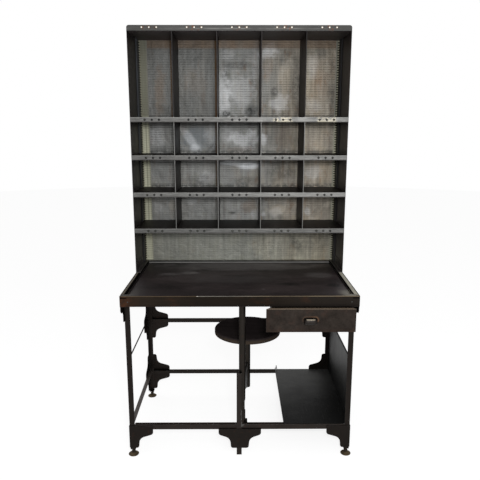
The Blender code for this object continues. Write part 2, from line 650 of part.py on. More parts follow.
def drawer_places():
    """Edges that the drawer's pieces and its runners share."""
    top = APRON_BOTTOM - DRAWER_FRONT_GAP
    box_front = DESK_FRONT - DRAWER_STAND_OFF + DRAWER_SHEET + SEAT_GAP
    return {
        "top": top,
        "bottom": top - DRAWER_FRONT_HEIGHT,
        "face": DESK_FRONT - DRAWER_STAND_OFF,
        "box_left": DRAWER_LEFT + BOX_LEFT_INSET,
        "box_right": DRAWER_LEFT + BOX_LEFT_INSET + BOX_WIDTH,
        "box_front": box_front,
        "box_rear": box_front + BOX_DEPTH,
        "box_top": top - BOX_TOP_DROP,
        "lug_front": box_front + BOX_DEPTH - DRAWER_SHEET,
    }


def build_drawer(body_material, front_material):
    """Folded front with mitred returns and an open box hung by flanges on its sides."""
    at = drawer_places()
    face = at["face"]
    sheet = DRAWER_SHEET
    back = face + sheet + DRAWER_RETURN
    outline = [(face, at["bottom"]), (back, at["bottom"]), (back, at["bottom"] + sheet),
               (face + sheet, at["bottom"] + sheet), (face + sheet, at["top"] - sheet),
               (back, at["top"] - sheet), (back, at["top"]), (face, at["top"])]
    bm = prism(outline, "x", DRAWER_LEFT, DRAWER_LEFT + DRAWER_WIDTH)
    middle = DRAWER_LEFT + DRAWER_WIDTH / 2
    for vert in bm.verts:
        mitre = vert.co.y - face
        vert.co.x += mitre if vert.co.x < middle else -mitre
    add_piece("drawer_front", bm, front_material)

    left, right, front, rear = at["box_left"], at["box_right"], at["box_front"], at["box_rear"]
    top = at["box_top"]
    bottom = top - BOX_HEIGHT
    box = add_piece("drawer_box", block((left, front, bottom), (right, rear, top)), body_material)
    inside = block((left + sheet, front + sheet, bottom + sheet), (right - sheet, rear - sheet, top + sheet))
    cut(box, inside)
    for edge, sign in ((left, -1), (right, 1)):
        span = sorted((edge + sign * RUNNER_FLANGE, edge - sign * OVERLAP))
        fuse(box, block((span[0], DESK_FRONT + RUNNER_FRONT + SEAT_GAP, top - sheet), (span[1], rear, top)))
        span = sorted((edge + sign * RUNNER_FLANGE, edge))
        fuse(box, block((span[0], at["lug_front"], top - OVERLAP), (span[1], rear, top + LUG_HEIGHT)))


def build_runners(material):
    """Channels under the tray. The drawer's flanges slide on their ledges. They stop
    against the channels' closed rear ends, and their lugs against a catch in each channel."""
    at = drawer_places()
    ledge_top = at["box_top"] - DRAWER_SHEET - SEAT_GAP
    top = TRAY_UNDERSIDE - SEAT_GAP
    start = DESK_FRONT + RUNNER_FRONT
    stop = at["box_rear"] + SEAT_GAP
    catch = at["lug_front"] - DRAWER_TRAVEL - SEAT_GAP
    for side, edge, sign in (("left", at["box_left"], -1), ("right", at["box_right"], 1)):
        web = edge + sign * (RUNNER_FLANGE + RUNNER_SIDE_CLEARANCE)
        outer = web + sign * RUNNER_SHEET
        ledge = web - sign * RUNNER_LEDGE
        flange = web - sign * RUNNER_TOP_FLANGE
        outline = [(outer, top), (outer, ledge_top - RUNNER_SHEET), (ledge, ledge_top - RUNNER_SHEET),
                   (ledge, ledge_top), (web, ledge_top), (web, top - RUNNER_SHEET),
                   (flange, top - RUNNER_SHEET), (flange, top)]
        channel = prism(outline, "y", start, stop + RUNNER_SHEET)
        runner = add_piece("drawer_runner_" + side, channel, material)
        span = sorted((ledge, web + sign * OVERLAP))
        fuse(runner, block((span[0], stop, ledge_top - OVERLAP),
                           (span[1], stop + RUNNER_SHEET, top - RUNNER_SHEET + OVERLAP)))
        fuse(runner, block((span[0], catch - RUNNER_SHEET, at["box_top"] + CATCH_CLEARANCE),
                           (span[1], catch, top - RUNNER_SHEET + OVERLAP)))


def build_pull(material):
    """Cup pull: a thin quarter shell, open behind and below."""
    at = drawer_places()

    def quarter(shrink):
        bm = bmesh.new()
        radii = (PULL_HALF_WIDTH - shrink, PULL_DEPTH - shrink, PULL_HEIGHT - shrink)
        shape = Matrix.Diagonal((*radii, 1.0)) @ Matrix.Rotation(math.pi / 2, 4, "Y")
        bmesh.ops.create_uvsphere(bm, u_segments=16, v_segments=10, radius=1.0, matrix=shape)
        return bm

    bm = quarter(0)
    everything = bm.verts[:] + bm.edges[:] + bm.faces[:]
    for normal in ((0, 1, 0), (0, 0, -1)):
        found = bmesh.ops.bisect_plane(bm, geom=everything, dist=1e-7, plane_co=(0, 0, 0), plane_no=normal,
                                       clear_outer=True, clear_inner=False)
        rim = [item for item in found["geom_cut"] if isinstance(item, bmesh.types.BMEdge)]
        bmesh.ops.holes_fill(bm, edges=rim, sides=0)
        everything = bm.verts[:] + bm.edges[:] + bm.faces[:]
    middle = DRAWER_LEFT + DRAWER_WIDTH / 2
    place = (middle - PULL_OFFSET, at["face"] - SEAT_GAP, at["bottom"] + PULL_BOTTOM_RISE)
    bmesh.ops.translate(bm, vec=place, verts=bm.verts[:])
    piece = add_piece("drawer_pull", bm, material, smooth=True)
    hollow = quarter(PULL_SHEET)
    bmesh.ops.translate(hollow, vec=place, verts=hollow.verts[:])
    cut(piece, hollow)


def build_pivot(material):
    """Fixed pipe that the stool swings on, with its socket on the lower rail and its cap
    under the tray."""
    centre = (PIVOT_X, PIVOT_Y)
    floor = LOWER_RAIL_TOP + SEAT_GAP
    plate_top = floor + SOCKET_PLATE
    spindle_foot = floor + SPINDLE_FLOOR
    rim = plate_top + SOCKET_HEIGHT
    socket = turned([(0, floor), (PIPE_RADIUS, floor), (PIPE_RADIUS, rim), (BORE_RADIUS, rim),
                     (BORE_RADIUS, spindle_foot - SEAT_GAP), (0, spindle_foot - SEAT_GAP)], centre)
    piece = add_piece("pivot_socket", socket, material, smooth=True)
    fuse(piece, block((PIVOT_X - SOCKET_PLATE_LEFT, PIVOT_Y - SOCKET_PLATE_FRONT, floor),
                      (PIVOT_X + SOCKET_PLATE_RIGHT, PIVOT_Y + SOCKET_PLATE_REAR, plate_top)))

    cap_top = TRAY_UNDERSIDE - SEAT_GAP
    cap_bottom = cap_top - CAP_LENGTH
    bore_end = cap_top - CAP_ROOF
    add_piece("pivot_cap", turned(
        [(0, cap_top), (CAP_FLANGE_RADIUS, cap_top), (CAP_FLANGE_RADIUS, cap_top - CAP_FLANGE_PLATE),
         (PIPE_RADIUS, cap_top - CAP_FLANGE_PLATE), (PIPE_RADIUS, cap_bottom), (BORE_RADIUS, cap_bottom),
         (BORE_RADIUS, bore_end), (0, bore_end)], centre), material, smooth=True)

    ring_top = SLEEVE_BOTTOM - SEAT_GAP
    ring_bottom = ring_top - THRUST_RING_HEIGHT
    add_piece("pivot_spindle", turned(
        [(0, spindle_foot), (SPINDLE_RADIUS, spindle_foot), (SPINDLE_RADIUS, ring_bottom),
         (THRUST_RING_RADIUS, ring_bottom), (THRUST_RING_RADIUS, ring_top), (SPINDLE_RADIUS, ring_top),
         (SPINDLE_RADIUS, bore_end - SEAT_GAP), (0, bore_end - SEAT_GAP)], centre), material, smooth=True)


def build_stool_arm(material):
    """Sleeve that turns on the spindle, a flat web, and the column that takes the seat."""
    sleeve_top = TRAY_UNDERSIDE - SEAT_GAP - CAP_LENGTH - SEAT_GAP
    sleeve = turned([(BORE_RADIUS, SLEEVE_BOTTOM), (PIPE_RADIUS, SLEEVE_BOTTOM),
                     (PIPE_RADIUS, sleeve_top), (BORE_RADIUS, sleeve_top)], (0, 0), closed=True)
    inner = BORE_RADIUS + 0.6 * (PIPE_RADIUS - BORE_RADIUS)
    outer = ARM_RADIUS - inner
    middle = (inner + outer) / 2
    lower_middle = (SLEEVE_BOTTOM + COLUMN_BOTTOM) / 2 + WEB_HOLLOW
    upper_middle = (WEB_COLUMN_TOP + WEB_SLEEVE_TOP) / 2 - WEB_HOLLOW
    outline = rounded_outline([
        (inner, SLEEVE_BOTTOM, 0), (middle, lower_middle, WEB_HOLLOW_RADIUS), (outer, COLUMN_BOTTOM, 0),
        (outer, WEB_COLUMN_TOP, 0), (middle, upper_middle, WEB_HOLLOW_RADIUS), (inner, WEB_SLEEVE_TOP, 0)])
    web = prism(outline, "y", -WEB_PLATE / 2, WEB_PLATE / 2)
    column = turned([(0, COLUMN_BOTTOM), (PIPE_RADIUS, COLUMN_BOTTOM), (PIPE_RADIUS, COLUMN_TOP),
                     (BORE_RADIUS, COLUMN_TOP), (BORE_RADIUS, COLUMN_TOP - COLUMN_BORE_DEPTH),
                     (0, COLUMN_TOP - COLUMN_BORE_DEPTH)], (ARM_RADIUS, 0))
    swing = Matrix.Rotation(math.radians(ARM_REST_ANGLE), 4, "Z")
    place = Matrix.Translation((PIVOT_X, PIVOT_Y, 0)) @ swing
    for shape in (sleeve, web, column):
        bmesh.ops.transform(shape, matrix=place, verts=shape.verts[:])
    piece = add_piece("stool_arm", sleeve, material, smooth=True)
    fuse(piece, web)
    fuse(piece, column)


def build_seat(stem_material, seat_material):
    """Stem that turns in the column, and the pressed round seat on its flange."""
    centre = (SEAT_X, SEAT_Y)
    under = SEAT_HEIGHT - SEAT_SHEET
    flange_top = under - SEAT_GAP
    flange_bottom = flange_top - STEM_FLANGE_PLATE
    shoulder = COLUMN_TOP + SEAT_GAP
    neck = shoulder + STEM_SHOULDER_HEIGHT
    foot = COLUMN_TOP - COLUMN_BORE_DEPTH + SEAT_GAP
    add_piece("stool_stem", turned(
        [(0, foot), (SPINDLE_RADIUS, foot), (SPINDLE_RADIUS, shoulder), (STEM_SHOULDER_RADIUS, shoulder),
         (STEM_SHOULDER_RADIUS, neck), (PIPE_RADIUS, neck), (PIPE_RADIUS, flange_bottom),
         (STEM_FLANGE_RADIUS, flange_bottom), (STEM_FLANGE_RADIUS, flange_top), (0, flange_top)], centre),
        stem_material, smooth=True)

    rim_bottom = SEAT_HEIGHT - SEAT_SKIRT
    inner = SEAT_RADIUS - SEAT_SHEET
    edge = SEAT_EDGE_RADIUS
    arc = [(SEAT_RADIUS - edge + edge * math.cos(a), SEAT_HEIGHT - edge + edge * math.sin(a))
           for a in (0, math.pi / 4, math.pi / 2)]
    skirt = [(0, under), (inner, under), (inner, rim_bottom), (SEAT_RADIUS, rim_bottom)]
    seat = turned(skirt + arc + [(0, SEAT_HEIGHT)], centre, SEAT_STEPS)
    add_piece("stool_seat", seat, seat_material, smooth=True)


def main():
    clear_scene()
    frame_steel = finish("oiled_frame_steel", (0.030, 0.026, 0.023), 0.45)
    tray_steel = finish("dark_tray_steel", (0.024, 0.020, 0.018), 0.40)
    worn_steel = finish("worn_shelf_steel", (0.16, 0.155, 0.145), 0.45)
    sheet_steel = finish("dark_sheet_steel", (0.030, 0.027, 0.025), 0.45)
    back_steel = finish("grey_back_steel", (0.17, 0.165, 0.155), 0.50)
    drawer_steel = finish("brown_drawer_steel", (0.050, 0.040, 0.034), 0.45)
    rusty_steel = finish("rusty_foot_steel", (0.09, 0.065, 0.040), 0.60)
    pipe_steel = finish("dark_pipe_steel", (0.032, 0.028, 0.024), 0.42)
    seat_steel = finish("black_seat_steel", (0.012, 0.010, 0.010), 0.50)

    build_tray(tray_steel)
    build_top_rails(frame_steel)
    build_legs(frame_steel)
    build_middle_leg(frame_steel)
    build_rails(frame_steel)
    build_gussets(frame_steel)
    build_overhang_gussets(frame_steel)
    build_feet(rusty_steel)
    build_lower_shelf(sheet_steel)
    build_side_panel(sheet_steel)
    build_hutch_sides(sheet_steel)
    build_hutch_top(worn_steel)
    build_hutch_back(back_steel)
    build_shelves(worn_steel)
    build_partitions(sheet_steel)
    build_drawer(sheet_steel, drawer_steel)
    build_runners(sheet_steel)
    build_pull(drawer_steel)
    build_pivot(pipe_steel)
    build_stool_arm(pipe_steel)
    build_seat(pipe_steel, seat_steel)


main()
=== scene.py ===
"""Looks of a steel sorting desk with a pigeonhole hutch, a drawer and a swing-out stool."""

import json
import math

import bmesh
import bpy
from mathutils import Matrix, Vector


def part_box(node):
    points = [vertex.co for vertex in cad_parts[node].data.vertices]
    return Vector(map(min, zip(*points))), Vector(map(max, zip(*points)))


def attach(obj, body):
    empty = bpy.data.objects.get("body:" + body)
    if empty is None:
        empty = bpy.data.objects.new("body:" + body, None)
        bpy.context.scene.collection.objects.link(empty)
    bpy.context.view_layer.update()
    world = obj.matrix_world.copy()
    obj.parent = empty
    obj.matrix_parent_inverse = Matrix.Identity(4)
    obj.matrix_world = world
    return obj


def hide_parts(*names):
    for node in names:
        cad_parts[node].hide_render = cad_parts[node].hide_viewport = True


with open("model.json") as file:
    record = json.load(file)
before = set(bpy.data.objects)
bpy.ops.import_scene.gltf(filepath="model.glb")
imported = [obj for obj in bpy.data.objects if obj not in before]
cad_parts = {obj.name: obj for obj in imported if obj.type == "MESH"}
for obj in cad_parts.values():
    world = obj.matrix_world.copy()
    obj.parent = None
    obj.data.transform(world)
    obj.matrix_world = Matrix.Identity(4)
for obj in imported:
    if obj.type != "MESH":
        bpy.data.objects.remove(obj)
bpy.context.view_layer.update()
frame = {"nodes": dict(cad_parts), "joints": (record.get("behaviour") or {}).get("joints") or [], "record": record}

bl_info = {
    "name": "Postal desk",
    "version": (1, 0, 0),
    "blender": (4, 5, 0),
    "location": "View3D > Sidebar > Postal desk",
    "description": "Dresses the frame of a steel sorting desk with pressed sheets and worn finishes",
    "category": "Object",
}

FIT = 0.0003                  # gap between two pieces that touch
HUTCH_SHEET = 0.0015          # thickness of the hutch's sheets
BEVEL = 0.001                 # width of the small bevels on turned pieces
WHITE = (1.0, 1.0, 1.0)
JOINTS = {joint["name"]: joint for joint in frame["joints"]}
BODY_OF = {node: body for body, nodes in frame["record"]["behaviour"]["bodies"].items() for node in nodes}

SIDES = (("left", -1), ("right", 1))
SHELVES = ("shelf_1", "shelf_2", "shelf_3", "shelf_4")
PARTITIONS = ("partition_1", "partition_2", "partition_3", "partition_4")
FRAME_NODES = [name for name in frame["nodes"]
               if name.startswith(("top_rail", "leg_", "lower_rail", "upper_rail", "side_tie", "gusset"))]


def amount(name, default, description, **kind):
    """A number for a property group."""
    return bpy.props.FloatProperty(name=name, description=description, default=default, **kind)


def length(name, default, description):
    """A size in metres for a property group."""
    return amount(name, default, description, min=0.0, unit="LENGTH", precision=5)


def colour(name, default, description):
    """A linear colour for a property group."""
    return bpy.props.FloatVectorProperty(name=name, description=description, default=default, size=3,
                                         min=0.0, max=1.0, subtype="COLOR")


class BackSheetSizes(bpy.types.PropertyGroup):
    """Pressed back sheet of the hutch."""
    row_pitch: length("Row pitch", 0.0136, "Height from one row of pressed slots to the next")
    column_pitch: length("Column pitch", 0.0253, "Distance from one slot to the next along a row")
    slot_length: length("Slot length", 0.0222, "Length of a pressed slot")
    slot_height: length("Slot height", 0.0022, "Height of a pressed slot")
    slot_slope: length("Slot slope", 0.0003, "Width of the sloping rim of a slot")
    press_depth: length("Press depth", 0.0008, "Depth of a pressed slot")
    foot_width: length("Foot width", 0.015, "Width of the sheet's folded foot")


class RackSizes(bpy.types.PropertyGroup):
    """Notched racks in the rear corners of the hutch, and the angles along its feet."""
    left_leg: length("Left leg", 0.047, "Width of the left rack on the back sheet")
    right_leg: length("Right leg", 0.018, "Width of the right rack on the back sheet")
    side_leg: length("Side leg", 0.070, "Width of a rack on the hutch's side")
    step: length("Step", 0.005, "How far a rack stands off the hutch's side")
    sheet: length("Sheet", 0.0012, "Thickness of a rack")
    notch_height: length("Notch height", 0.0060, "Height of a notch")
    left_reach: length("Left reach", 0.0060, "How far a notch of the left rack runs along the back sheet")
    right_reach: length("Right reach", 0.0105, "How far a notch of the right rack runs along the back sheet")
    side_reach: length("Side reach", 0.0180, "How far a notch runs from the corner along the side")
    foot_height: length("Foot height", 0.046, "Height of the angle along the foot of each side")
    foot_width: length("Foot width", 0.020, "Width of that angle's lower leg")
    foot_sheet: length("Foot sheet", 0.0020, "Thickness of that angle")
    foot_inset: length("Foot inset", 0.004, "How far that angle lies behind the side's front edge")
    foot_gap: length("Foot gap", 0.002, "Distance from that angle's rear end to the rack")


class EdgeSizes(bpy.types.PropertyGroup):
    """Hemmed front edges of the partitions."""
    depth: length("Depth", 0.0085, "How far the hem runs back")
    sheet: length("Sheet", 0.0006, "Thickness of the hem")


class StoolSizes(bpy.types.PropertyGroup):
    """Turned and welded pieces of the stool."""
    pipe_radius: length("Pipe radius", 0.01685, "Outer radius of the sleeve and column")
    bore_radius: length("Bore radius", 0.01375, "Inner radius of the sleeve and column")
    rod_radius: length("Rod radius", 0.01345, "Radius of the spindle and stem")
    chamfer: length("Chamfer", 0.0008, "Width of the chamfers at the ends of the pipes")
    plate: length("Plate", 0.004, "Thickness of the socket's foot and of the flanges")
    fillet: length("Fillet", 0.003, "Width of the fillet between a pipe and its flange")
    web_sheet: length("Web plate", 0.008, "Thickness of the web")
    web_hollow: length("Web hollow", 0.030, "How far the web's edges draw in")
    web_edge: length("Web edge", 0.0010, "Width of the web's rounded edges")
    sleeve_bottom: length("Sleeve bottom", 0.310, "Height of the sleeve's lower end")
    sleeve_web_top: length("Web top at the sleeve", 0.420, "Height of the web's upper corner at the sleeve")
    column_web_top: length("Web top at the column", 0.385, "Height of the web's upper corner at the column")
    column_bottom: length("Column bottom", 0.224, "Height of the column's lower end")
    column_top: length("Column top", 0.545, "Height of the column's upper end")
    column_bore: length("Column bore", 0.135, "Depth of the bore for the stem")
    ring_radius: length("Ring radius", 0.0160, "Radius of the ring under the sleeve")
    ring_height: length("Ring height", 0.008, "Height of the ring under the sleeve, and of the stem's collar")
    collar_radius: length("Collar radius", 0.021, "Radius of the stem's collar")
    bead: length("Weld bead", 0.0024, "Radius of a weld bead")
    ripple: length("Weld ripple", 0.0026, "Distance from one ripple of a weld bead to the next")
    seat_sheet: length("Seat sheet", 0.0022, "Thickness of the pressed seat")
    seat_dish: length("Seat dish", 0.0006, "How far the seat's middle is pressed down")
    seat_edge: length("Seat edge", 0.006, "Radius of the seat's upper edge")


class FootSizes(bpy.types.PropertyGroup):
    """Levelling feet."""
    disc_edge: length("Disc edge", 0.0035, "Thickness of the disc's edge")
    cone_height: length("Cone height", 0.013, "Height of the cone over the disc")
    nut_radius: length("Nut radius", 0.0105, "Radius over the corners of the lock nut")
    nut_height: length("Nut height", 0.0070, "Height of the lock nut")
    nut_gap: length("Nut gap", 0.0035, "Distance from the cone to the lock nut")
    stud_radius: length("Stud radius", 0.0065, "Outer radius of the threaded stud")
    thread_pitch: length("Thread pitch", 0.00175, "Pitch of the thread")
    thread_depth: length("Thread depth", 0.0008, "Depth of the thread")


class FittingSizes(bpy.types.PropertyGroup):
    """Cup pull of the drawer, rivets of the apron and bolt of the lower shelf."""
    pull_sheet: length("Pull sheet", 0.0016, "Thickness of the pressed cup")
    rivet_radius: length("Rivet radius", 0.0036, "Radius of a rivet's head")
    rivet_rise: length("Rivet rise", 0.0014, "Height of a rivet's head")
    rivet_inset: length("Rivet inset", 0.038, "Distance of a rivet from the end of the apron")
    rivet_drop: length("Rivet drop", 0.030, "Distance of a rivet below the work top's rim")
    bolt_radius: length("Bolt radius", 0.0030, "Radius of the bolt")
    bolt_reach: length("Bolt reach", 0.020, "How far the bolt stands up from the shelf")
    washer_radius: length("Washer radius", 0.0057, "Radius of the bolt's washer")
    washer_sheet: length("Washer sheet", 0.003, "Thickness of the bolt's washer")


class Colours(bpy.types.PropertyGroup):
    """Finishes of the desk."""
    oiled: colour("Oiled steel", (0.0190, 0.0160, 0.0142), "Blackened steel of the frame")
    tray: colour("Tray", (0.0142, 0.0105, 0.0108), "Near-black steel of the work top")
    apron: colour("Apron", (0.030, 0.0215, 0.0150), "Brown steel of the work top's apron")
    rust: colour("Rust", (0.110, 0.038, 0.015), "Rust at the corners")
    bare: colour("Bare steel", (0.188, 0.187, 0.180), "Worn bare steel of the shelf edges")
    sheet: colour("Dark sheet", (0.0172, 0.0140, 0.0140), "Oiled sheet of the partitions and sides")
    back: colour("Back sheet", (0.166, 0.168, 0.162), "Grey steel of the back")
    olive: colour("Olive film", (0.181, 0.180, 0.136), "Old oil film on the racks")
    umber: colour("Umber stain", (0.120, 0.074, 0.044), "Brown stain along the top of the back")
    drawer: colour("Drawer", (0.043, 0.034, 0.0285), "Warm brown steel of the drawer")
    seat: colour("Seat", (0.0270, 0.0218, 0.0215), "Black pressed seat")
    foot: colour("Feet", (0.095, 0.072, 0.042), "Rusty turned feet")
    pipe: colour("Pipe", (0.0250, 0.0215, 0.0185), "Oiled pipe of the post")


class StageSizes(bpy.types.PropertyGroup):
    """Camera, floor and lamps."""
    lens: amount("Lens", 39.92, "Focal length on a 36 mm sensor", subtype="DISTANCE_CAMERA")
    camera: bpy.props.FloatVectorProperty(name="Camera", description="Place of the camera", size=3,
                                          default=(-0.0146, -2.8062, 1.6806), subtype="TRANSLATION")
    pitch: amount("Pitch", 0.2023, "How far the camera looks down", subtype="ANGLE")
    turn: amount("Turn", 0.0062, "How far the camera looks to the right", subtype="ANGLE")
    floor_radius: length("Floor radius", 14.0, "Radius of the pale floor")
    floor_glow: amount("Floor glow", 1.18, "How brightly the floor shows to the camera", min=0.0)
    floor_shade: amount("Floor shade", 0.30, "Share of the desk's shadow that the floor shows", min=0.0)
    ambient: amount("Ambient", 0.48, "Strength of the studio's even light", min=0.0)
    key_power: amount("Key lamp", 70.0, "Power of the large lamp", min=0.0, unit="POWER")
    front_power: amount("Front lamp", 34.0, "Power of the lamp by the camera", min=0.0, unit="POWER")


class PostalDesk(bpy.types.PropertyGroup):
    """Every size and colour of the desk's looks."""
    back_sheet: bpy.props.PointerProperty(type=BackSheetSizes)
    rack: bpy.props.PointerProperty(type=RackSizes)
    edge: bpy.props.PointerProperty(type=EdgeSizes)
    stool: bpy.props.PointerProperty(type=StoolSizes)
    foot: bpy.props.PointerProperty(type=FootSizes)
    fitting: bpy.props.PointerProperty(type=FittingSizes)
    colours: bpy.props.PointerProperty(type=Colours)
    stage: bpy.props.PointerProperty(type=StageSizes)


# Shader maths

def both_ways(operation):
    """The methods of Number for an operator and for its reflected form."""
    def forward(self, other):
        return self.nodes.maths(operation, self, other)

    def reflected(self, other):
        return self.nodes.maths(operation, other, self)

    return forward, reflected


class Number:
    """A value that changes over a surface, with Python's own arithmetic."""

    def __init__(self, nodes, socket):
        self.nodes = nodes
        self.socket = socket

    __add__, __radd__ = both_ways("ADD")
    __sub__, __rsub__ = both_ways("SUBTRACT")
    __mul__, __rmul__ = both_ways("MULTIPLY")
    __truediv__, __rtruediv__ = both_ways("DIVIDE")
    __pow__, __rpow__ = both_ways("POWER")
    __mod__, __rmod__ = both_ways("FLOORED_MODULO")

    def __abs__(self):
        return self.nodes.maths("ABSOLUTE", self)

    def or_else(self, other):
        """The larger of two masks."""
        return self.nodes.maths("MAXIMUM", self, other)

    def above(self, low, high):
        """0 below low, 1 above high, with a soft step between them."""
        node = self.nodes.add("ShaderNodeMapRange", {"interpolation_type": "SMOOTHSTEP"},
                              {"Value": self, "From Min": low, "From Max": high})
        return Number(self.nodes, node.outputs["Result"])

    def below(self, low, high):
        """1 below low, 0 above high."""
        return 1 - self.above(low, high)

    def near(self, middle, half, soft):
        """1 within half of the middle, fading over soft."""
        return abs(self - middle).below(half, half + soft)


class Nodes:
    """The node tree of a material or world, built from nothing."""

    def __init__(self, owner):
        owner.use_nodes = True
        self.tree = owner.node_tree
        self.tree.nodes.clear()

    def add(self, kind, settings=None, inputs=None):
        """A node of a kind, with its settings and then the values or links of its sockets."""
        node = self.tree.nodes.new(kind)
        for name, value in (settings or {}).items():
            setattr(node, name, value)
        for key, value in (inputs or {}).items():
            self.feed(node.inputs[key], value)
        return node

    def feed(self, socket, value):
        """Links a socket to a value that changes, or sets a constant on it."""
        if isinstance(value, Number):
            value = value.socket
        if isinstance(value, bpy.types.NodeSocket):
            self.tree.links.new(value, socket)
        elif socket.type == "RGBA":
            socket.default_value = (*tuple(value)[:3], 1.0)
        else:
            socket.default_value = value

    def maths(self, operation, first, second=0.0):
        """A sum of two values, at least one of which changes."""
        node = self.add("ShaderNodeMath", {"operation": operation}, {0: first, 1: second})
        return Number(self, node.outputs[0])

    def both_shaders(self, share, first, second):
        """The first shader where the share is 0 and the second where it is 1."""
        return self.add("ShaderNodeMixShader", {}, {0: share, 1: first, 2: second}).outputs[0]

    def seen(self):
        """1 for rays that look at the background: the camera's, mirrored and passing ones."""
        path = self.add("ShaderNodeLightPath").outputs
        camera = Number(self, path["Is Camera Ray"])
        return camera.or_else(path["Is Glossy Ray"]).or_else(path["Is Transmission Ray"])


class Finish(Nodes):
    """One material, built in coats over a base colour on the desk's own coordinates."""

    def __init__(self, name):
        self.material = bpy.data.materials.new(name)
        super().__init__(self.material)
        self.shader = self.add("ShaderNodeBsdfPrincipled")
        self.add("ShaderNodeOutputMaterial", {}, {"Surface": self.shader.outputs["BSDF"]})
        self.place = self.add("ShaderNodeTexCoord").outputs["Object"]
        split = self.add("ShaderNodeSeparateXYZ", {}, {"Vector": self.place})
        self.x, self.y, self.z = (Number(self, split.outputs[axis]) for axis in "XYZ")
        self.base = None

    def mix(self, mask, under, over):
        """Colour under where the mask is 0 and over where it is 1."""
        node = self.add("ShaderNodeMix", {"data_type": "RGBA"}, {0: mask, 6: under, 7: over})
        return node.outputs[2]

    def coat(self, mask, over):
        """Lays a colour over the base where the mask is 1."""
        self.base = self.mix(mask, self.base, over)

    def lighten(self, tone, level):
        """A colour multiplied by a number that changes."""
        grey = self.add("ShaderNodeCombineXYZ", {}, {0: level, 1: level, 2: level})
        node = self.add("ShaderNodeMix", {"data_type": "RGBA", "blend_type": "MULTIPLY"},
                        {0: 1.0, 6: tone, 7: grey.outputs[0]})
        return node.outputs[2]

    def noise(self, size, stretch=(1, 1, 1), detail=4.0, rough=0.55, shift=0.0):
        """Cloudy noise from 0 to 1, whose clouds are about as large as size times stretch."""
        turned = self.add("ShaderNodeMapping", {}, {
            "Vector": self.place, "Location": (shift, 1.7 * shift, 2.3 * shift),
            "Scale": tuple(1 / (size * part) for part in stretch)})
        node = self.add("ShaderNodeTexNoise", {}, {"Vector": turned.outputs[0], "Scale": 1.0,
                                                   "Detail": detail, "Roughness": rough})
        return Number(self, node.outputs[0])

    def patch(self, x, z, wide, high, lean, wander):
        """A soft ragged patch on a sheet that faces the front. Lean shifts it sideways as it rises."""
        reach = from_middle((self.x - x - (self.z - z) * lean) / wide, (self.z - z) / high)
        return (reach + wander).below(0.40, 1.15)

    def holes(self, half, height, columns=5, spacing=0.038):
        """Distance to the nearest of the three label holes of a column on a flange."""
        pitch = 2 * half / columns
        across = abs((self.x + half) % pitch - pitch / 2)
        return from_middle(self.maths("MINIMUM", across, abs(across - spacing)), self.z - height)

    def rounded(self, radius):
        """A normal that is rounded near the edges of the piece."""
        return self.add("ShaderNodeBevel", {"samples": 4}, {"Radius": radius}).outputs[0]

    def rub_edges(self, radius, strength, tone):
        """Lays a tone over the edges of the piece, and gives back a normal that is rounded there."""
        normal = self.rounded(radius)
        true = self.add("ShaderNodeNewGeometry").outputs["True Normal"]
        dot = self.add("ShaderNodeVectorMath", {"operation": "DOT_PRODUCT"}, {0: normal, 1: true})
        worn = (1 - Number(self, dot.outputs["Value"])).above(0.015, 0.16)
        self.coat(worn * strength, tone)
        return normal

    def bump(self, height, depth, normal, strength=1.0):
        """A normal that is roughened by a height, which counts in units of depth."""
        inputs = {"Height": height, "Distance": depth, "Strength": strength, "Normal": normal}
        return self.add("ShaderNodeBump", {}, inputs).outputs[0]

    def surface(self, roughness, metallic, normal, tint=0.5, gloss=0.5):
        """Feeds the shader. Tint is how bright the steel is at a grazing angle, gloss how
        strongly an oil film mirrors."""
        values = {"Base Color": self.base, "Roughness": roughness, "Metallic": metallic, "Normal": normal,
                  "Specular Tint": (tint, tint, tint), "Specular IOR Level": gloss}
        for name, value in values.items():
            self.feed(self.shader.inputs[name], value)
        return self.material


def from_middle(across, upward):
    """Distance from a middle, from the distances across and upward."""
    return (across * across + upward * upward) ** 0.5


# Tones of worn places and stains, and of painted highlights, shadows and shade, as linear colours
SMUDGE = (0.130, 0.120, 0.118)
CORNER_BLOOM = (0.175, 0.162, 0.135)
APRON_SHADE = (0.0150, 0.0130, 0.0115)
RIM_LEFT = (0.098, 0.082, 0.058)
RIM_RIGHT = (0.400, 0.380, 0.310)
RIM_BROWN = (0.170, 0.118, 0.078)
LIP_GREY = (0.250, 0.232, 0.200)
LIP_TAN = (0.220, 0.172, 0.112)
LIP_BROWN = (0.090, 0.062, 0.036)
LIP_GLINT = (0.60, 0.56, 0.50)
CREAM_HALO = (0.47, 0.43, 0.33)
HOLE_SHADE = (0.002, 0.002, 0.002)
SHELF_SHADE = (0.0150, 0.0112, 0.0102)
HOLE_RIM = (0.52, 0.44, 0.30)
WARM_BACK = (0.200, 0.175, 0.138)
BAY_FILM = (0.165, 0.168, 0.132)
BAND_BROWN = (0.125, 0.092, 0.066)
SHADOW_FRINGE_BROWN = (0.095, 0.050, 0.020)
RACK_CORNER = (0.300, 0.285, 0.205)
RACK_EDGE = (0.175, 0.168, 0.150)
DARK_BLUISH = (0.026, 0.026, 0.028)
PALE_BLUISH = (0.060, 0.065, 0.073)
PULL_HALO = (0.150, 0.084, 0.050)
LEDGE_BROWN = (0.150, 0.112, 0.078)
CUP_BRIGHT = (0.40, 0.35, 0.27)
BAY_EDGE = (0.060, 0.055, 0.050)
SEAT_RIM = (0.070, 0.052, 0.034)
SEAT_WORN = (0.06, 0.045, 0.03)

# Tones of the places on the back sheet: painted sheen is light that the sheet reflects, and gleam is a smooth dent
# that catches the light, both painted highlights
PAINTED_SHEEN = (0.60, 0.61, 0.62)
WARM = (0.36, 0.325, 0.27)
COOL = (0.150, 0.176, 0.200)
GLEAM = (0.62, 0.64, 0.66)
FILM = (0.170, 0.118, 0.080)

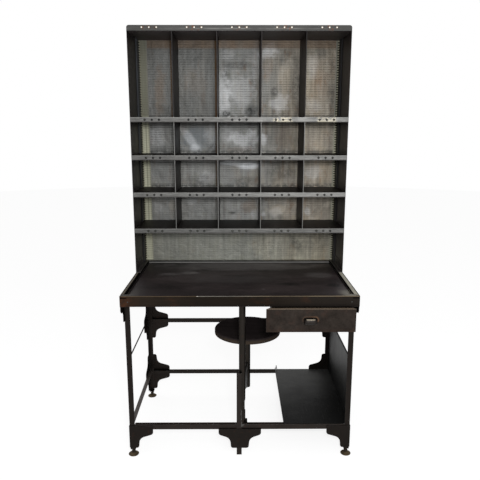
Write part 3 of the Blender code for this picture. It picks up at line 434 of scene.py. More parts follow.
# Clouds on the work top: x, y, half width, half depth and strength, grey above nought and dark below
TRAY_SMUDGES = (
    (-0.390, 0.080, 0.070, 0.035, 0.40),
    (-0.285, 0.115, 0.070, 0.035, 0.55),
    (-0.260, 0.120, 0.030, 0.025, 0.45),
    (0.450, 0.060, 0.090, 0.070, 0.32),
    (0.005, 0.270, 0.480, 0.120, 0.68),
    (-0.050, -0.020, 0.300, 0.090, 0.14),
    (0.265, -0.120, 0.075, 0.040, -0.90),
    (-0.400, -0.165, 0.150, 0.060, -0.65),
    (0.485, -0.140, 0.045, 0.045, -0.90),
    (0.120, -0.210, 0.012, 0.010, 0.40),
)

# Places on the back sheet that differ from the rest, cell by cell: tone, x, z, half width, half
# height, strength, and how far the place leans to the side as it rises
TOP_ROW = (
    (FILM, -0.460, 1.900, 0.035, 0.150, 0.40),
    (FILM, -0.250, 1.945, 0.070, 0.090, 0.16),
    (PAINTED_SHEEN, -0.090, 1.885, 0.045, 0.145, 0.38),
    (PAINTED_SHEEN, 0.005, 1.900, 0.095, 0.115, 0.20),
    (PAINTED_SHEEN, -0.065, 2.105, 0.050, 0.035, 0.16),
    (PAINTED_SHEEN, 0.100, 2.060, 0.030, 0.150, 0.12),
    (PAINTED_SHEEN, 0.175, 2.125, 0.065, 0.045, 0.34, 0.5),
    (PAINTED_SHEEN, 0.235, 1.835, 0.065, 0.060, 0.28),
    (WARM, 0.260, 1.990, 0.045, 0.090, 0.20),
    (FILM, 0.165, 2.035, 0.035, 0.090, 0.30),
    (PAINTED_SHEEN, 0.440, 1.820, 0.050, 0.050, 0.18),
    (PAINTED_SHEEN, 0.420, 2.045, 0.035, 0.080, 0.14),
    (FILM, 0.480, 1.955, 0.060, 0.150, 0.30),
)
SECOND_ROW = (
    (PAINTED_SHEEN, -0.485, 1.640, 0.055, 0.070, 0.20),
    (COOL, -0.245, 1.630, 0.105, 0.095, 0.46),
    (GLEAM, -0.290, 1.635, 0.035, 0.075, 0.40, -0.6),
    (GLEAM, -0.260, 1.580, 0.035, 0.030, 0.45),
    (PAINTED_SHEEN, -0.165, 1.650, 0.040, 0.075, 0.20),
    (PAINTED_SHEEN, 0.025, 1.630, 0.085, 0.065, 0.48),
    (PAINTED_SHEEN, -0.070, 1.645, 0.040, 0.065, 0.18),
    (FILM, -0.005, 1.570, 0.095, 0.030, 0.22),
    (PAINTED_SHEEN, 0.145, 1.630, 0.030, 0.040, 0.34),
    (GLEAM, 0.140, 1.645, 0.020, 0.030, 0.30, -0.5),
    (FILM, 0.265, 1.640, 0.055, 0.085, 0.25),
    (WARM, 0.465, 1.645, 0.080, 0.070, 0.32),
)
LOWER_ROWS = (
    (PAINTED_SHEEN, -0.190, 1.415, 0.070, 0.040, 0.18),
    (GLEAM, -0.050, 1.495, 0.085, 0.020, 0.60),
    (GLEAM, 0.055, 1.480, 0.075, 0.030, 0.90),
    (PAINTED_SHEEN, 0.440, 1.435, 0.080, 0.040, 0.26),
    (PAINTED_SHEEN, -0.490, 1.225, 0.030, 0.050, 0.18),
    (WARM, -0.405, 1.225, 0.025, 0.055, 0.40),
    (PAINTED_SHEEN, -0.290, 1.265, 0.050, 0.025, 0.26),
    (FILM, 0.060, 1.235, 0.060, 0.050, 0.45),
    (PAINTED_SHEEN, 0.090, 1.185, 0.025, 0.030, 0.24),
    (PAINTED_SHEEN, 0.150, 1.185, 0.020, 0.020, 0.40),
    (WARM, 0.255, 1.210, 0.080, 0.040, 0.80),
    (PAINTED_SHEEN, 0.225, 1.195, 0.050, 0.030, 0.22),
    (PAINTED_SHEEN, 0.410, 1.200, 0.020, 0.025, 0.42),
    (WARM, 0.485, 0.975, 0.100, 0.045, 0.16),
)
# Darker places, most of them painted shade at the foot and top of a cell and in its corners, with a few dark
# blotches: x, z, half width, half height, strength and lean
DARK_PLACES = (
    (-0.445, 1.805, 0.070, 0.035, 0.30),
    (-0.075, 1.780, 0.030, 0.020, 0.95),
    (0.070, 1.795, 0.040, 0.040, 0.95),
    (0.000, 2.050, 0.100, 0.025, 0.45),
    (-0.075, 2.000, 0.030, 0.030, 0.35),
    (0.260, 2.095, 0.030, 0.070, 0.55, 0.4),
    (0.335, 1.925, 0.035, 0.210, 0.60),
    (0.205, 1.900, 0.025, 0.035, 0.60),
    (0.450, 2.125, 0.075, 0.045, 0.45),
    (0.535, 1.880, 0.030, 0.095, 0.50),
    (0.540, 2.025, 0.020, 0.080, 0.35),
    (-0.455, 1.575, 0.070, 0.025, 0.30),
    (-0.160, 1.575, 0.035, 0.040, 0.45),
    (0.070, 1.585, 0.040, 0.040, 0.45),
    (0.245, 1.640, 0.120, 0.085, 0.24),
    (-0.260, 1.390, 0.100, 0.035, 0.30),
    (0.040, 1.390, 0.090, 0.035, 0.50),
    (0.250, 1.445, 0.130, 0.085, 0.50),
    (-0.355, 1.175, 0.040, 0.035, 0.30),
    (-0.045, 1.195, 0.025, 0.010, 0.70),
    (0.475, 1.225, 0.110, 0.085, 0.32),
    (0.430, 1.025, 0.185, 0.075, 0.42),
    (0.355, 0.995, 0.030, 0.080, 0.42, -0.6),
)
# Painted shadow edges: brown lines on the sheet beside the partitions, where their shadows fall, each running up
# from its lowest z: x and lowest z
SHADOW_FRINGE_LINES = ((-0.391, 1.753), (-0.132, 1.753), (-0.136, 1.353))


# Finishes

def scaled(tone, factor):
    """A colour made lighter or darker."""
    return tuple(part * factor for part in tone)


def oiled_steel(colours, name, tone, rubbed, wear=0.7, sheen=0.42, rusty=0.18, shift=0.0, tint=0.45,
                metal=1.0, gloss=0.5, front=None, scratched=None):
    """Blackened steel: cloudy oil, fine mill grain, rusty freckles and rubbed edges. Rubbed is how
    bright the edges are, as a share of bare steel, and wear how much of them shows it. Front is
    where a sheet's bare front edge lies, if it has one. Scratched is the x and z of a place
    with upright scratches."""
    worn_tone = scaled(colours.bare, rubbed)
    f = Finish(name)
    clouds = f.noise(0.09, shift=shift)
    grain = f.noise(0.006, stretch=(1, 1, 3), detail=5.0, shift=shift + 1)
    freckles = f.noise(0.022, detail=6.0, rough=0.7, shift=shift + 2)
    f.base = f.lighten(tone, 0.62 + clouds * 0.5 + grain * 0.3)
    f.coat(freckles.above(0.56, 0.74) * rusty, colours.rust)
    scuffs = wear * f.noise(0.05, detail=5.0, shift=shift + 3).above(0.30, 0.62)
    normal = f.rub_edges(0.0022, scuffs, worn_tone)
    if front is not None:
        f.coat(f.y.below(front + 0.0002, front + 0.0016) * (0.3 + clouds), scaled(worn_tone, 1.3))
    if scratched is not None:
        x, z = scratched
        lines = f.noise(0.0028, stretch=(1, 1, 9), detail=5.0, rough=0.7, shift=33.0).above(0.46, 0.58)
        place = f.x.near(x, 0.004, 0.006) * f.z.near(z, 0.040, 0.015)
        f.coat(lines * place * 0.85, scaled(worn_tone, 3.6))
    roughness = sheen - 0.10 + grain * 0.14 + clouds * 0.10 + freckles.above(0.56, 0.74) * 0.12
    height = grain * 0.6 + freckles * 0.4
    metallic = metal * (1 - freckles.above(0.60, 0.78) * rusty)
    return f.surface(roughness, metallic, f.bump(height, 0.0003, normal), tint, gloss)


def tray_steel(colours):
    """Work top: brown apron, rubbed front edge and side rims, near-black floor with wiped smudges."""
    low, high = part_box("desk_top")
    rim, rear_rim, recess = 0.032, 0.050, 0.008
    f = Finish("tray_steel")
    clouds = f.noise(0.11, stretch=(1.6, 1, 1))
    grain = f.noise(0.005, stretch=(3, 1, 1), detail=5.0, shift=1.0)
    smudge = f.noise(0.16, stretch=(2.4, 1.0, 1.0), detail=5.0, rough=0.6, shift=4.0)
    rim_top = f.z.above(high.z - 0.0012, high.z - 0.0008)
    floor = f.z.below(high.z - 0.0075, high.z - 0.0060) * f.z.above(high.z - 0.0140, high.z - 0.0120)
    front = f.y.below(low.y + 0.0004, low.y + 0.0010)
    apron = front.or_else(abs(f.x).above(high.x - 0.0010, high.x - 0.0004)) * (1 - rim_top)
    # Floor
    f.base = f.lighten(colours.tray, 0.80 + clouds * 0.5)
    wiped = floor * smudge.above(0.42, 0.64)
    f.coat(wiped * 0.55, scaled(colours.tray, 2.6))
    cloud = f.noise(0.05, stretch=(1.6, 1, 1), detail=5.0, shift=18.0)
    for x, y, wide, deep, strength in TRAY_SMUDGES:
        reach = from_middle((f.x - x) / wide, (f.y - y) / deep) + (cloud - 0.5) * 1.2
        tone = SMUDGE if strength > 0 else scaled(colours.tray, 0.30)
        f.coat(reach.below(0.35, 1.15) * floor * abs(strength), tone)
    rings = f.noise(0.035, stretch=(2.5, 1, 1), detail=6.0, rough=0.7, shift=14.0).above(0.54, 0.70)
    f.coat(rings * floor * 0.35, scaled(colours.tray, 2.6))
    from_side = high.x - abs(f.x)
    on_right = f.x.above(-0.1, 0.1)
    bloom = (f.y.below(low.y + 0.075, low.y + 0.155) * from_side.below(0.045, 0.105)
             * f.noise(0.05, detail=4.0, shift=16.0).above(0.22, 0.56) * (1 - apron))
    f.coat(bloom * (0.12 + on_right * 0.75), CORNER_BLOOM)
    # Apron
    worked = abs(f.x + 0.05).above(0.10, 0.50)
    streak = f.noise(0.0035, stretch=(24, 1, 1), detail=4.0, shift=19.0)
    face = f.lighten(colours.apron, (worked * 0.26 + clouds * 0.35 + streak * 0.30) * 1.10)
    face = f.mix(on_right * worked * 0.6, face, APRON_SHADE)
    face = f.mix(f.z.below(low.z + 0.0060, low.z + 0.0160) * 0.40, face, scaled(colours.tray, 0.5))
    f.coat(apron, face)
    crust = f.noise(0.025, detail=6.0, shift=6.0).above(0.22, 0.78)
    corner = f.x.below(low.x + 0.004, low.x + 0.110) * crust
    flecks = f.noise(0.05, stretch=(2.0, 1, 1), detail=6.0, rough=0.65, shift=8.0).above(0.52, 0.72)
    f.coat(corner.or_else(flecks * 0.22) * apron * 0.50, colours.rust)
    # Side rims, with a rubbed band along each, painted shade on their inner part and along the foot of their
    # walls, and a painted highlight on the rear wall
    side_rim = rim_top * from_side.below(rim - 0.0005, rim + 0.0005)
    reach_in = 0.0125 + on_right * 0.0075
    band = from_side.above(0.0030, 0.0055) * (from_side - reach_in).below(0.0, 0.0035) * side_rim
    band = band * f.y.above(low.y + 0.010, low.y + 0.040)
    # Painted shade on the rims' inner part and on the floor along the foot of their walls
    wall_foot = floor * from_side.below(rim + 0.0005, rim + 0.0035)
    shaded = (side_rim * (1 - band) * f.y.above(low.y + rim - 0.004, low.y + rim)).or_else(wall_foot)
    f.coat(shaded * 0.95, scaled(colours.tray, 0.30))
    rubbed = f.mix(on_right, RIM_LEFT, RIM_RIGHT)
    rubbed = f.mix(smudge.above(0.52, 0.66) * (1 - on_right) * 0.7, rubbed, RIM_BROWN)
    f.coat(band * (0.62 + clouds * 0.5), rubbed)
    # Painted highlight: a light line on the rear wall of the recess
    foot = high.z - recess
    rear_wall = f.y.near(high.y - rear_rim, 0.0010, 0.0008) * f.z.above(foot, foot + 0.001)
    rear_wall = rear_wall * abs(f.x).below(high.x - rim - 0.002, high.x - rim)
    f.coat(rear_wall * (0.55 + f.noise(0.06, shift=12.0) * 0.6), scaled(colours.bare, 0.95))
    # Front lip and mitres
    lip = f.z.above(high.z - 0.0030, high.z - 0.0016) * f.y.below(low.y + 0.0024, low.y + 0.0036)
    patchy = f.noise(0.07, stretch=(3, 1, 1), detail=4.0, shift=9.0).above(0.25, 0.62)
    dull = f.x.below(-0.215, -0.195)
    tan = f.x.above(-0.05, 0.15)
    lip_tone = f.mix(tan, LIP_GREY, LIP_TAN)
    lip_tone = f.mix(dull, lip_tone, LIP_BROWN)
    f.coat(lip * (0.45 + patchy * 0.5), lip_tone)
    f.coat(lip * f.x.near(-0.205, 0.002, 0.003) * 0.7, LIP_GLINT)
    mitre = abs(high.x - abs(f.x) - (f.y - low.y))
    seam = mitre.below(0.0004, 0.0012) * rim_top * f.y.below(low.y + rim, low.y + rim + 0.001)
    f.coat(seam * 0.8, scaled(colours.tray, 0.4))
    scuffs = f.noise(0.04, detail=5.0, shift=3.0).above(0.32, 0.60)
    normal = f.rub_edges(0.0022, scuffs * 0.5, scaled(colours.bare, 0.50))
    roughness = 0.50 + grain * 0.10 + clouds * 0.10 - wiped * 0.08
    height = grain * 0.5 + f.noise(0.03, shift=5.0) * 0.8
    metallic = (apron * 0.4).or_else(shaded)
    return f.surface(roughness, metallic, f.bump(height, 0.0004, normal), 0.25, 0.25)


def shelf_steel(colours, index):
    """Shelf: bare brushed front flange over a dark sheet, with a painted highlight that differs from shelf to
    shelf and grows to the right.
    """
    low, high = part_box(SHELVES[index])
    # How bright each flange is, and how much lighter it grows to the right: painted highlight
    bright, rise = ((0.63, 0.20), (0.58, 0.40), (0.74, 0.50), (0.62, 0.24))[index]
    f = Finish("shelf_steel_%d" % (index + 1))
    brushed = f.noise(0.004, stretch=(18, 1, 1), detail=5.0, shift=index)
    clouds = f.noise(0.10, stretch=(1.5, 1, 0.6), shift=3.0 * index)
    speck = f.noise(0.009, detail=6.0, rough=0.7, shift=5.0 + index)
    flange = f.y.below(low.y + 0.0016, low.y + 0.0022)
    blotch = f.noise(0.028, stretch=(1.4, 1, 0.25), detail=4.0, rough=0.6, shift=30.0 + 2.0 * index)
    level = 0.50 + brushed * 0.35 + clouds * 0.40 + (blotch - 0.5) * 1.3 + f.x.above(-0.30, 0.40) * rise
    level = level * bright
    f.base = f.lighten(colours.bare, level)
    f.coat(speck.above(0.60, 0.74) * 0.5, scaled(colours.umber, 0.6))
    # On the top shelf: painted sheen on the flange's right part, and cream halos at two of its columns
    if index == 0:
        rubbed = f.x.above(-0.10, 0.20) * f.noise(0.06, shift=9.0).above(0.34, 0.66)
        f.coat(rubbed * 0.35, scaled(colours.bare, 1.6))
        for group in (0.232, 0.464):
            halo = f.x.near(group, 0.040, 0.02) * f.noise(0.014, shift=group).above(0.40, 0.58)
            f.coat(halo * 0.65, CREAM_HALO)
    edge_line = f.z.above(high.z - 0.0040, high.z - 0.0020)
    f.coat(edge_line * 0.45, scaled(colours.bare, 1.45))
    foot_line = f.z.below(low.z + 0.0020, low.z + 0.0050)
    f.coat(foot_line * 0.65, scaled(colours.sheet, 1.6))
    glints = f.noise(0.020, stretch=(2.5, 1, 0.4), detail=5.0, rough=0.7, shift=12.0 + index)
    f.coat(glints.above(0.55, 0.72) * f.x.above(-0.25, 0.30) * 0.30, scaled(colours.bare, 1.9))
    f.coat(glints.below(0.32, 0.48) * 0.50, scaled(colours.bare, 0.36))
    # Painted shade: the label holes and a ring round them are painted near-black
    hole = f.holes(high.x + 0.0018, (low.z + high.z) / 2).below(0.0052, 0.0064)
    f.coat(hole, HOLE_SHADE)
    dark = f.lighten(SHELF_SHADE, 0.25 + f.noise(0.07, shift=2.0) * 0.7)
    dusty = f.y.below(low.y + 0.004, low.y + 0.020) * f.noise(0.05, shift=7.0).above(0.40, 0.70)
    dark = f.mix(dusty * 0.35, dark, colours.apron)
    f.base = f.mix(flange, dark, f.base)
    normal = f.rub_edges(0.0014, flange * 0.4, scaled(colours.bare, 1.3 * bright))
    roughness = 0.42 + brushed * 0.16 + speck * 0.08
    height = brushed * 0.5 + speck * 0.3 + clouds * 1.5
    return f.surface(roughness, flange * 0.85 * (1 - hole), f.bump(height, 0.0004, normal), 0.7, 0.12)


def hutch_top_steel(colours):
    """Top panel: dark sheet, and a drilled flange with grey streaks and pale halos round the holes."""
    low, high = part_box("hutch_top")
    f = Finish("hutch_top_steel")
    brushed = f.noise(0.0035, stretch=(24, 1, 1), detail=5.0)
    clouds = f.noise(0.09, stretch=(1.6, 1, 1), shift=2.0)
    flange = f.y.below(low.y + 0.0016, low.y + 0.0022)
    level = 0.25 + brushed * 0.9 + clouds * 0.8 + f.x.below(-0.3, -0.1) * 0.2
    f.base = f.lighten(scaled(colours.bare, 0.22), level)
    broken = f.noise(0.03, stretch=(3, 1, 1), shift=4.0).above(0.35, 0.65)
    streak = f.z.near(low.z + 0.0105, 0.0016, 0.0030) * broken
    f.coat(streak * (0.25 + abs(f.x).below(0.15, 0.45) * 0.45), scaled(colours.bare, 0.75))
    foot = f.z.below(low.z + 0.0026, low.z + 0.0048)
    f.coat(foot * 0.15, scaled(colours.bare, 0.55))
    reach = f.holes(high.x, high.z - 0.011)
    f.coat(reach.below(0.0065, 0.0100) * 0.6, scaled(colours.sheet, 1.2))
    f.coat(reach.below(0.0040, 0.0056) * 0.7, HOLE_RIM)
    between = f.holes(high.x, high.z - 0.011, spacing=0.019).below(0.010, 0.020)
    rust = between * f.noise(0.010, detail=5.0, shift=7.0).above(0.50, 0.64)
    f.coat(rust * 0.6, colours.rust)
    dark = f.lighten(scaled(colours.sheet, 2.8), 0.6 + clouds * 0.6)
    f.base = f.mix(flange, dark, f.base)
    normal = f.rub_edges(0.0014, 0.35, scaled(colours.bare, 0.6))
    height = brushed * 0.5 + clouds * 1.5
    return f.surface(0.42 + brushed * 0.16, flange * 0.7, f.bump(height, 0.0004, normal), 0.55, 0.35)


def back_steel(colours):
    """Back sheet: grey pressed steel with an umber band at its top, places painted lighter as sheen and as
    light caught on dents, and darker places, most of them painted shade."""
    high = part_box("hutch_back")[1]
    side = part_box("hutch_side_right")[1].x
    f = Finish("back_steel")
    streaks = f.noise(0.010, stretch=(1, 1, 30), detail=4.0)
    broad = f.noise(0.035, stretch=(1, 1, 12), detail=3.0, shift=4.0)
    rows = f.noise(0.006, stretch=(20, 1, 1), detail=4.0, shift=2.0)
    clouds = f.noise(0.16, stretch=(1, 1, 1.4), detail=3.0, shift=5.0)
    mottle = f.noise(0.020, detail=6.0, rough=0.65, shift=6.0)
    speck = f.noise(0.008, detail=6.0, rough=0.7, shift=3.0)
    # Tone: warmer to the right, browned and olive in places
    drift = f.noise(0.11, stretch=(0.7, 1, 2), detail=4.0, shift=11.0)
    warm = f.x.above(0.05, 0.40) * 0.70 + drift.above(0.46, 0.66) * (0.12 + f.x.above(-0.12, 0.05) * 0.23)
    f.base = f.mix(warm, colours.back, WARM_BACK)
    stain = f.noise(0.05, stretch=(0.6, 1, 1.6), detail=5.0, shift=21.0)
    browned = stain.above(0.56, 0.72) * (0.18 + f.x.above(-0.12, 0.05) * 0.32)
    f.coat(browned, scaled(colours.umber, 1.1))
    f.coat(stain.below(0.30, 0.44) * 0.30, scaled(colours.olive, 0.85))
    bay = f.z.below(1.140, 1.152)
    f.coat(bay * 0.40, BAY_FILM)
    # Level: how light each part of the sheet is, painted light standing in for the light that reaches it: lighter
    # towards the lower rows and in the right-hand column, darker at the top row's left; and how streaky
    top_row = f.z.above(1.75, 1.76)
    lift = 1 + f.z.below(1.20, 1.76) * 0.45 + bay * 0.06 + f.x.above(0.33, 0.36) * (1 - top_row) * 0.25
    dimmer = f.x.below(-0.13, -0.11) * 0.22 + abs(f.x).below(0.34, 0.36) * 0.06
    lift = lift * (1 - top_row * dimmer)
    upright = f.noise(0.022, stretch=(1, 1, 14), detail=5.0, rough=0.6, shift=25.0)
    lined = (upright - 0.5) * (0.75 + f.x.above(0.08, 0.14) * 0.75)
    level = 0.20 + streaks * 0.42 + broad * 0.30 + rows * 0.22 + clouds * 0.45 + mottle * 0.25 + lined
    f.base = f.lighten(f.base, level * lift)
    # Places that differ from the rest, painted sheen and highlights among them
    wander = (f.noise(0.060, detail=2.0, shift=31.0) - 0.5) * 1.5 + (mottle - 0.5) * 1.4
    grained = 0.10 + streaks * 0.6 + rows * 0.5 + mottle * 0.5
    for film, x, z, wide, tall, strength, *lean in (*TOP_ROW, *SECOND_ROW, *LOWER_ROWS):
        ragged = wander * 0.3 if film is GLEAM else wander
        f.coat(f.patch(x, z, wide, tall, sum(lean), ragged) * grained * strength, film)
    blotted = 0.48 + mottle.above(0.42, 0.58) * 0.52
    # Painted shade, with a few dark blotches, in the darker places
    for x, z, wide, tall, strength, *lean in DARK_PLACES:
        mask = f.patch(x, z, wide, tall, sum(lean), wander * 0.5) * blotted
        f.coat(mask * strength, scaled(colours.back, 0.20))
    # Painted shade along the foot of the cells on the upper three shelves, broken by the mottle
    for name in SHELVES[:3]:
        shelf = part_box(name)[1].z
        cell_foot_shade = f.z.above(shelf - 0.001, shelf) * f.z.below(shelf + 0.006, shelf + 0.030)
        f.coat(cell_foot_shade * mottle.above(0.36, 0.56) * 0.7, scaled(colours.back, 0.28))
    umber_band = f.z.above(high.z - 0.050, high.z - 0.036) * (0.42 + broad * 0.7)
    f.coat(umber_band, f.lighten(BAND_BROWN, 0.45 + streaks * 0.6 + broad * 0.5))
    # Painted shadow edges beside the partitions
    for x, bottom in SHADOW_FRINGE_LINES:
        line = f.x.near(x, 0.0025, 0.0030) * f.z.above(bottom, bottom + 0.004)
        f.coat(line * 0.75 * broad.above(0.2, 0.5), SHADOW_FRINGE_BROWN)
    f.coat(speck.above(0.62, 0.74) * 0.35, scaled(colours.back, 0.30))
    # Grime and painted shade in the pressed slots, patchy, and fainter in the top row's left, in the right-hand
    # columns below the top row and in the bay
    pressed = f.y.above(high.y - 0.0013, high.y - 0.0009) * f.y.below(high.y - 0.0004, high.y - 0.0002)
    slot_shade_patches = f.noise(0.10, stretch=(1.5, 1, 1), shift=17.0).above(0.36, 0.62)
    plain = f.x.below(-0.25, -0.05) * f.z.above(1.75, 1.80)
    fainter_slot_shade = plain.or_else(f.x.above(0.08, 0.14) * (1 - top_row)).or_else(bay)
    f.coat(pressed * (0.18 + slot_shade_patches * 0.42) * (1 - fainter_slot_shade * 0.55), scaled(colours.sheet, 1.2))
    # Deep shade behind the notches of the racks, and a plain outer face
    behind_left = f.x.below(0.0137 - side, 0.0145 - side)
    behind_right = f.x.above(side - 0.0185, side - 0.0177)
    f.coat(behind_left.or_else(behind_right), scaled(colours.sheet, 0.3))
    outside = f.y.above(high.y - 0.0003, high.y - 0.0001)
    f.coat(outside, f.lighten(scaled(colours.back, 0.55), 0.5 + clouds * 0.6 + mottle * 0.4))
    normal = f.rounded(0.0010)
    roughness = 0.46 + streaks * 0.10 + speck * 0.10
    height = clouds * 8.0 + f.noise(0.05, detail=2.0, shift=9.0) * 3.0 + streaks * 0.2
    return f.surface(roughness, 0.85, f.bump(height, 0.0012, normal, 0.7), 0.8, 0.3)


def rack_steel(colours, name, reach, pitch):
    """Notched rack under an old film of olive oil, pale at its corner and bluish on the leg that
    lies on the hutch's side. Reach is how far the rack comes from that side, and pitch the
    height from one notch to the next."""
    side_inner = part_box("hutch_side_right")[1].x - HUTCH_SHEET
    f = Finish(name)
    streaks = f.noise(0.008, stretch=(1, 1, 24), detail=4.0, shift=1.0)
    clouds = f.noise(0.10, stretch=(1, 1, 2), shift=2.0)
    inward = side_inner - abs(f.x)
    upper = f.z.above(1.74, 1.77)
    # Painted light: the film is painted far lighter below the top row than in it
    f.base = f.lighten(colours.olive, (0.34 + streaks * 0.40 + clouds * 0.30) * (4.1 - upper * 2.85))
    f.coat(f.noise(0.03, detail=5.0, shift=3.0).above(0.58, 0.74) * 0.4, colours.umber)
    corner = inward.below(0.0115, 0.0140)
    f.coat(corner * (0.45 + streaks * 0.4), RACK_CORNER)
    outer = inward.above(reach - 0.0075, reach - 0.0055)
    f.coat(outer * 0.55, RACK_EDGE)
    crease = inward.near(0.62 * reach, 0.0018, 0.0030) * (1 - upper) * f.x.below(-0.1, 0.0)
    f.coat(crease * f.z.above(1.14, 1.16) * 0.40, scaled(colours.olive, 0.35))
    # Painted shade: dark ticks across the left rack, where its slots would show dark
    slots = (f.z % pitch).near(pitch / 2, 0.0016, 0.0022) * f.x.below(-0.1, 0.1)
    f.coat(slots * (0.02 + clouds * 0.36), scaled(colours.olive, 0.35))
    side = inward.below(0.0066, 0.0070)
    bluish = f.mix(f.z.above(1.35, 1.62) * f.x.below(-0.1, 0.1), DARK_BLUISH, PALE_BLUISH)
    f.coat(side, f.lighten(bluish, 0.35 + streaks * 1.1 + clouds * 0.4))
    normal = f.rub_edges(0.0010, 0.30, scaled(colours.bare, 1.0))
    return f.surface(0.46 + clouds * 0.2, 0.35, f.bump(streaks, 0.0002, normal), 0.7, 0.3)


def hem_steel(colours):
    """Partition edges: rubbed grey between the lower shelves and dull above the top one."""
    f = Finish("partition_hem_steel")
    top_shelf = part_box("shelf_1")[1].z
    grain = f.noise(0.030, stretch=(1, 1, 3), detail=5.0)
    dull = f.z.above(top_shelf + 0.002, top_shelf + 0.006)
    shaded = f.mix(abs(f.x).above(0.2, 0.3), colours.sheet, scaled(colours.sheet, 0.5))
    f.base = f.mix(dull * 0.93, scaled(colours.bare, 0.85), shaded)
    f.base = f.lighten(f.base, 0.55 + grain * 0.8)
    normal = f.rounded(0.0008)
    return f.surface(0.45 + grain * 0.1, 0.4, f.bump(grain, 0.0002, normal), 0.6, 0.4)


def drawer_steel(colours):
    """Drawer front: warm brown steel with rubbed edges, a painted highlight on its top ledge, and rust and a
    painted shadow round the pull.
    """
    low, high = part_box("drawer_front")
    pull_low, pull_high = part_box("drawer_pull")
    middle = (pull_low + pull_high) / 2
    half = (pull_high - pull_low) / 2
    f = Finish("drawer_steel")
    clouds = f.noise(0.05, detail=5.0)
    grain = f.noise(0.006, stretch=(2, 1, 1), detail=5.0, shift=1.0)
    mottle = f.noise(0.014, detail=6.0, rough=0.7, shift=8.0)
    f.base = f.lighten(colours.drawer, clouds * 0.75 + grain * 0.20 + (mottle - 0.30) * 0.75)
    brown = f.noise(0.045, detail=6.0, rough=0.65, shift=4.0).above(0.50, 0.72)
    f.coat(brown * 0.30, scaled(colours.rust, 0.45))
    across = f.maths("MAXIMUM", abs(f.x - middle.x) - half.x * 0.72, 0.0)
    upward = f.maths("MAXIMUM", f.z - middle.z - half.z * 0.45, 0.0)
    reach = from_middle(across, upward) + (f.noise(0.012, shift=6.0) - 0.5) * 0.006
    beside = f.z.above(middle.z - half.z * 0.8, middle.z + half.z * 0.2)
    right = f.x.above(middle.x - half.x, middle.x + half.x)
    halo = reach.below(0.011, 0.022) * beside * (0.35 + right * 0.65)
    f.coat(halo * 0.65, PULL_HALO)
    # Painted shadow and grime: a dark outline round the pull
    f.coat(reach.below(0.0105, 0.0120) * beside * 0.95, scaled(colours.sheet, 0.2))
    dull = f.z.below(low.z + 0.002, low.z + 0.022).or_else(f.x.below(low.x + 0.002, low.x + 0.030))
    f.coat(dull * 0.35 * clouds, scaled(colours.rust, 0.35))
    # Painted highlight: the top ledge is painted lighter brown
    ledge = f.z.above(high.z - 0.0026, high.z - 0.0014)
    f.coat(ledge * (0.55 + clouds * 0.6), LEDGE_BROWN)
    normal = f.rub_edges(0.0020, 0.5, scaled(colours.bare, 0.42))
    roughness = 0.42 + clouds * 0.12 + brown * 0.08
    metallic = (1 - ledge) * (0.9 - brown * 0.3)
    return f.surface(roughness, metallic, f.bump(grain + clouds * 2.0, 0.0004, normal), 0.5)


def pull_steel(colours):
    """Cup pull: dark steel, rubbed and painted with a highlight along the top of the cup."""
    low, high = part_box("drawer_pull")
    f = Finish("pull_steel")
    grain = f.noise(0.006, detail=5.0)
    f.base = f.lighten(scaled(colours.drawer, 0.36), 0.5 + grain)
    # Painted highlight and wear along the top of the cup
    top = f.z.near(high.z - 0.0032, 0.0011, 0.0012) * abs(f.x - (low.x + high.x) / 2).below(0.019, 0.023)
    f.coat(top * (0.75 + grain * 0.3), CUP_BRIGHT)
    normal = f.rub_edges(0.0014, 0.3, scaled(colours.bare, 0.6))
    return f.surface(0.40 + grain * 0.1, 0.6, f.bump(grain, 0.0003, normal), 0.6)


def lower_bay_steel(name, tone, bright_end, dark_end):
    """Lower shelf or side panel: oiled sheet with a soft grey painted highlight that fades from one
    point to another."""
    f = Finish(name)
    clouds = f.noise(0.14, detail=4.0, shift=2.0)
    grain = f.noise(0.006, stretch=(3, 3, 1), detail=5.0, shift=1.0)
    scratches = f.noise(0.05, stretch=(0.06, 1, 1), detail=5.0, shift=3.0).above(0.58, 0.72)
    span = Vector(dark_end) - Vector(bright_end)
    offsets = (f.x - bright_end[0], f.y - bright_end[1], f.z - bright_end[2])
    along = sum((offset * part for offset, part in zip(offsets, span / span.length_squared)), 0.0)
    fade = (along + (clouds - 0.5) * 0.5).below(0.0, 1.0)
    wiped = f.noise(0.07, stretch=(2.2, 0.7, 0.7), detail=5.0, shift=6.0)
    # Painted highlight: soft grey, brightest at the bright end and fading towards the dark end
    bloom = (0.06 + fade * 1.05) * (0.35 + clouds * 0.5 + wiped * 0.75)
    f.base = f.lighten(tone, bloom + grain * 0.12 + scratches * 0.2)
    normal = f.rub_edges(0.0016, 0.5, BAY_EDGE)
    metallic = 0.3 + (1 - fade) * 0.15
    height = clouds * 5.0 + grain * 0.4
    return f.surface(0.42 + clouds * 0.12, metallic, f.bump(height, 0.0006, normal), 0.4, 0.25)


def seat_steel(colours):
    """Seat: black pressed steel with a rubbed brown edge."""
    low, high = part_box("stool_seat")
    centre = (low + high) / 2
    f = Finish("seat_steel")
    reach = from_middle(f.x - centre.x, f.y - centre.y)
    clouds = f.noise(0.08)
    grain = f.noise(0.004, detail=5.0, shift=1.0)
    wiped = f.noise(0.016, stretch=(7, 1, 1), detail=5.0, shift=5.0)
    f.base = f.lighten(colours.seat, 0.30 + clouds * 0.6 + wiped * 0.8)
    rim = reach.above(high.x - centre.x - 0.0030, high.x - centre.x - 0.0010)
    rubbed = rim * f.z.below(high.z - 0.012, high.z - 0.004)
    f.coat(rubbed * 0.5 * f.noise(0.05, shift=3.0).above(0.20, 0.60), SEAT_RIM)
    normal = f.rub_edges(0.0015, 0.2, SEAT_WORN)
    return f.surface(0.56 + grain * 0.12, 0.0, f.bump(grain, 0.0003, normal), 0.2, 0.0)


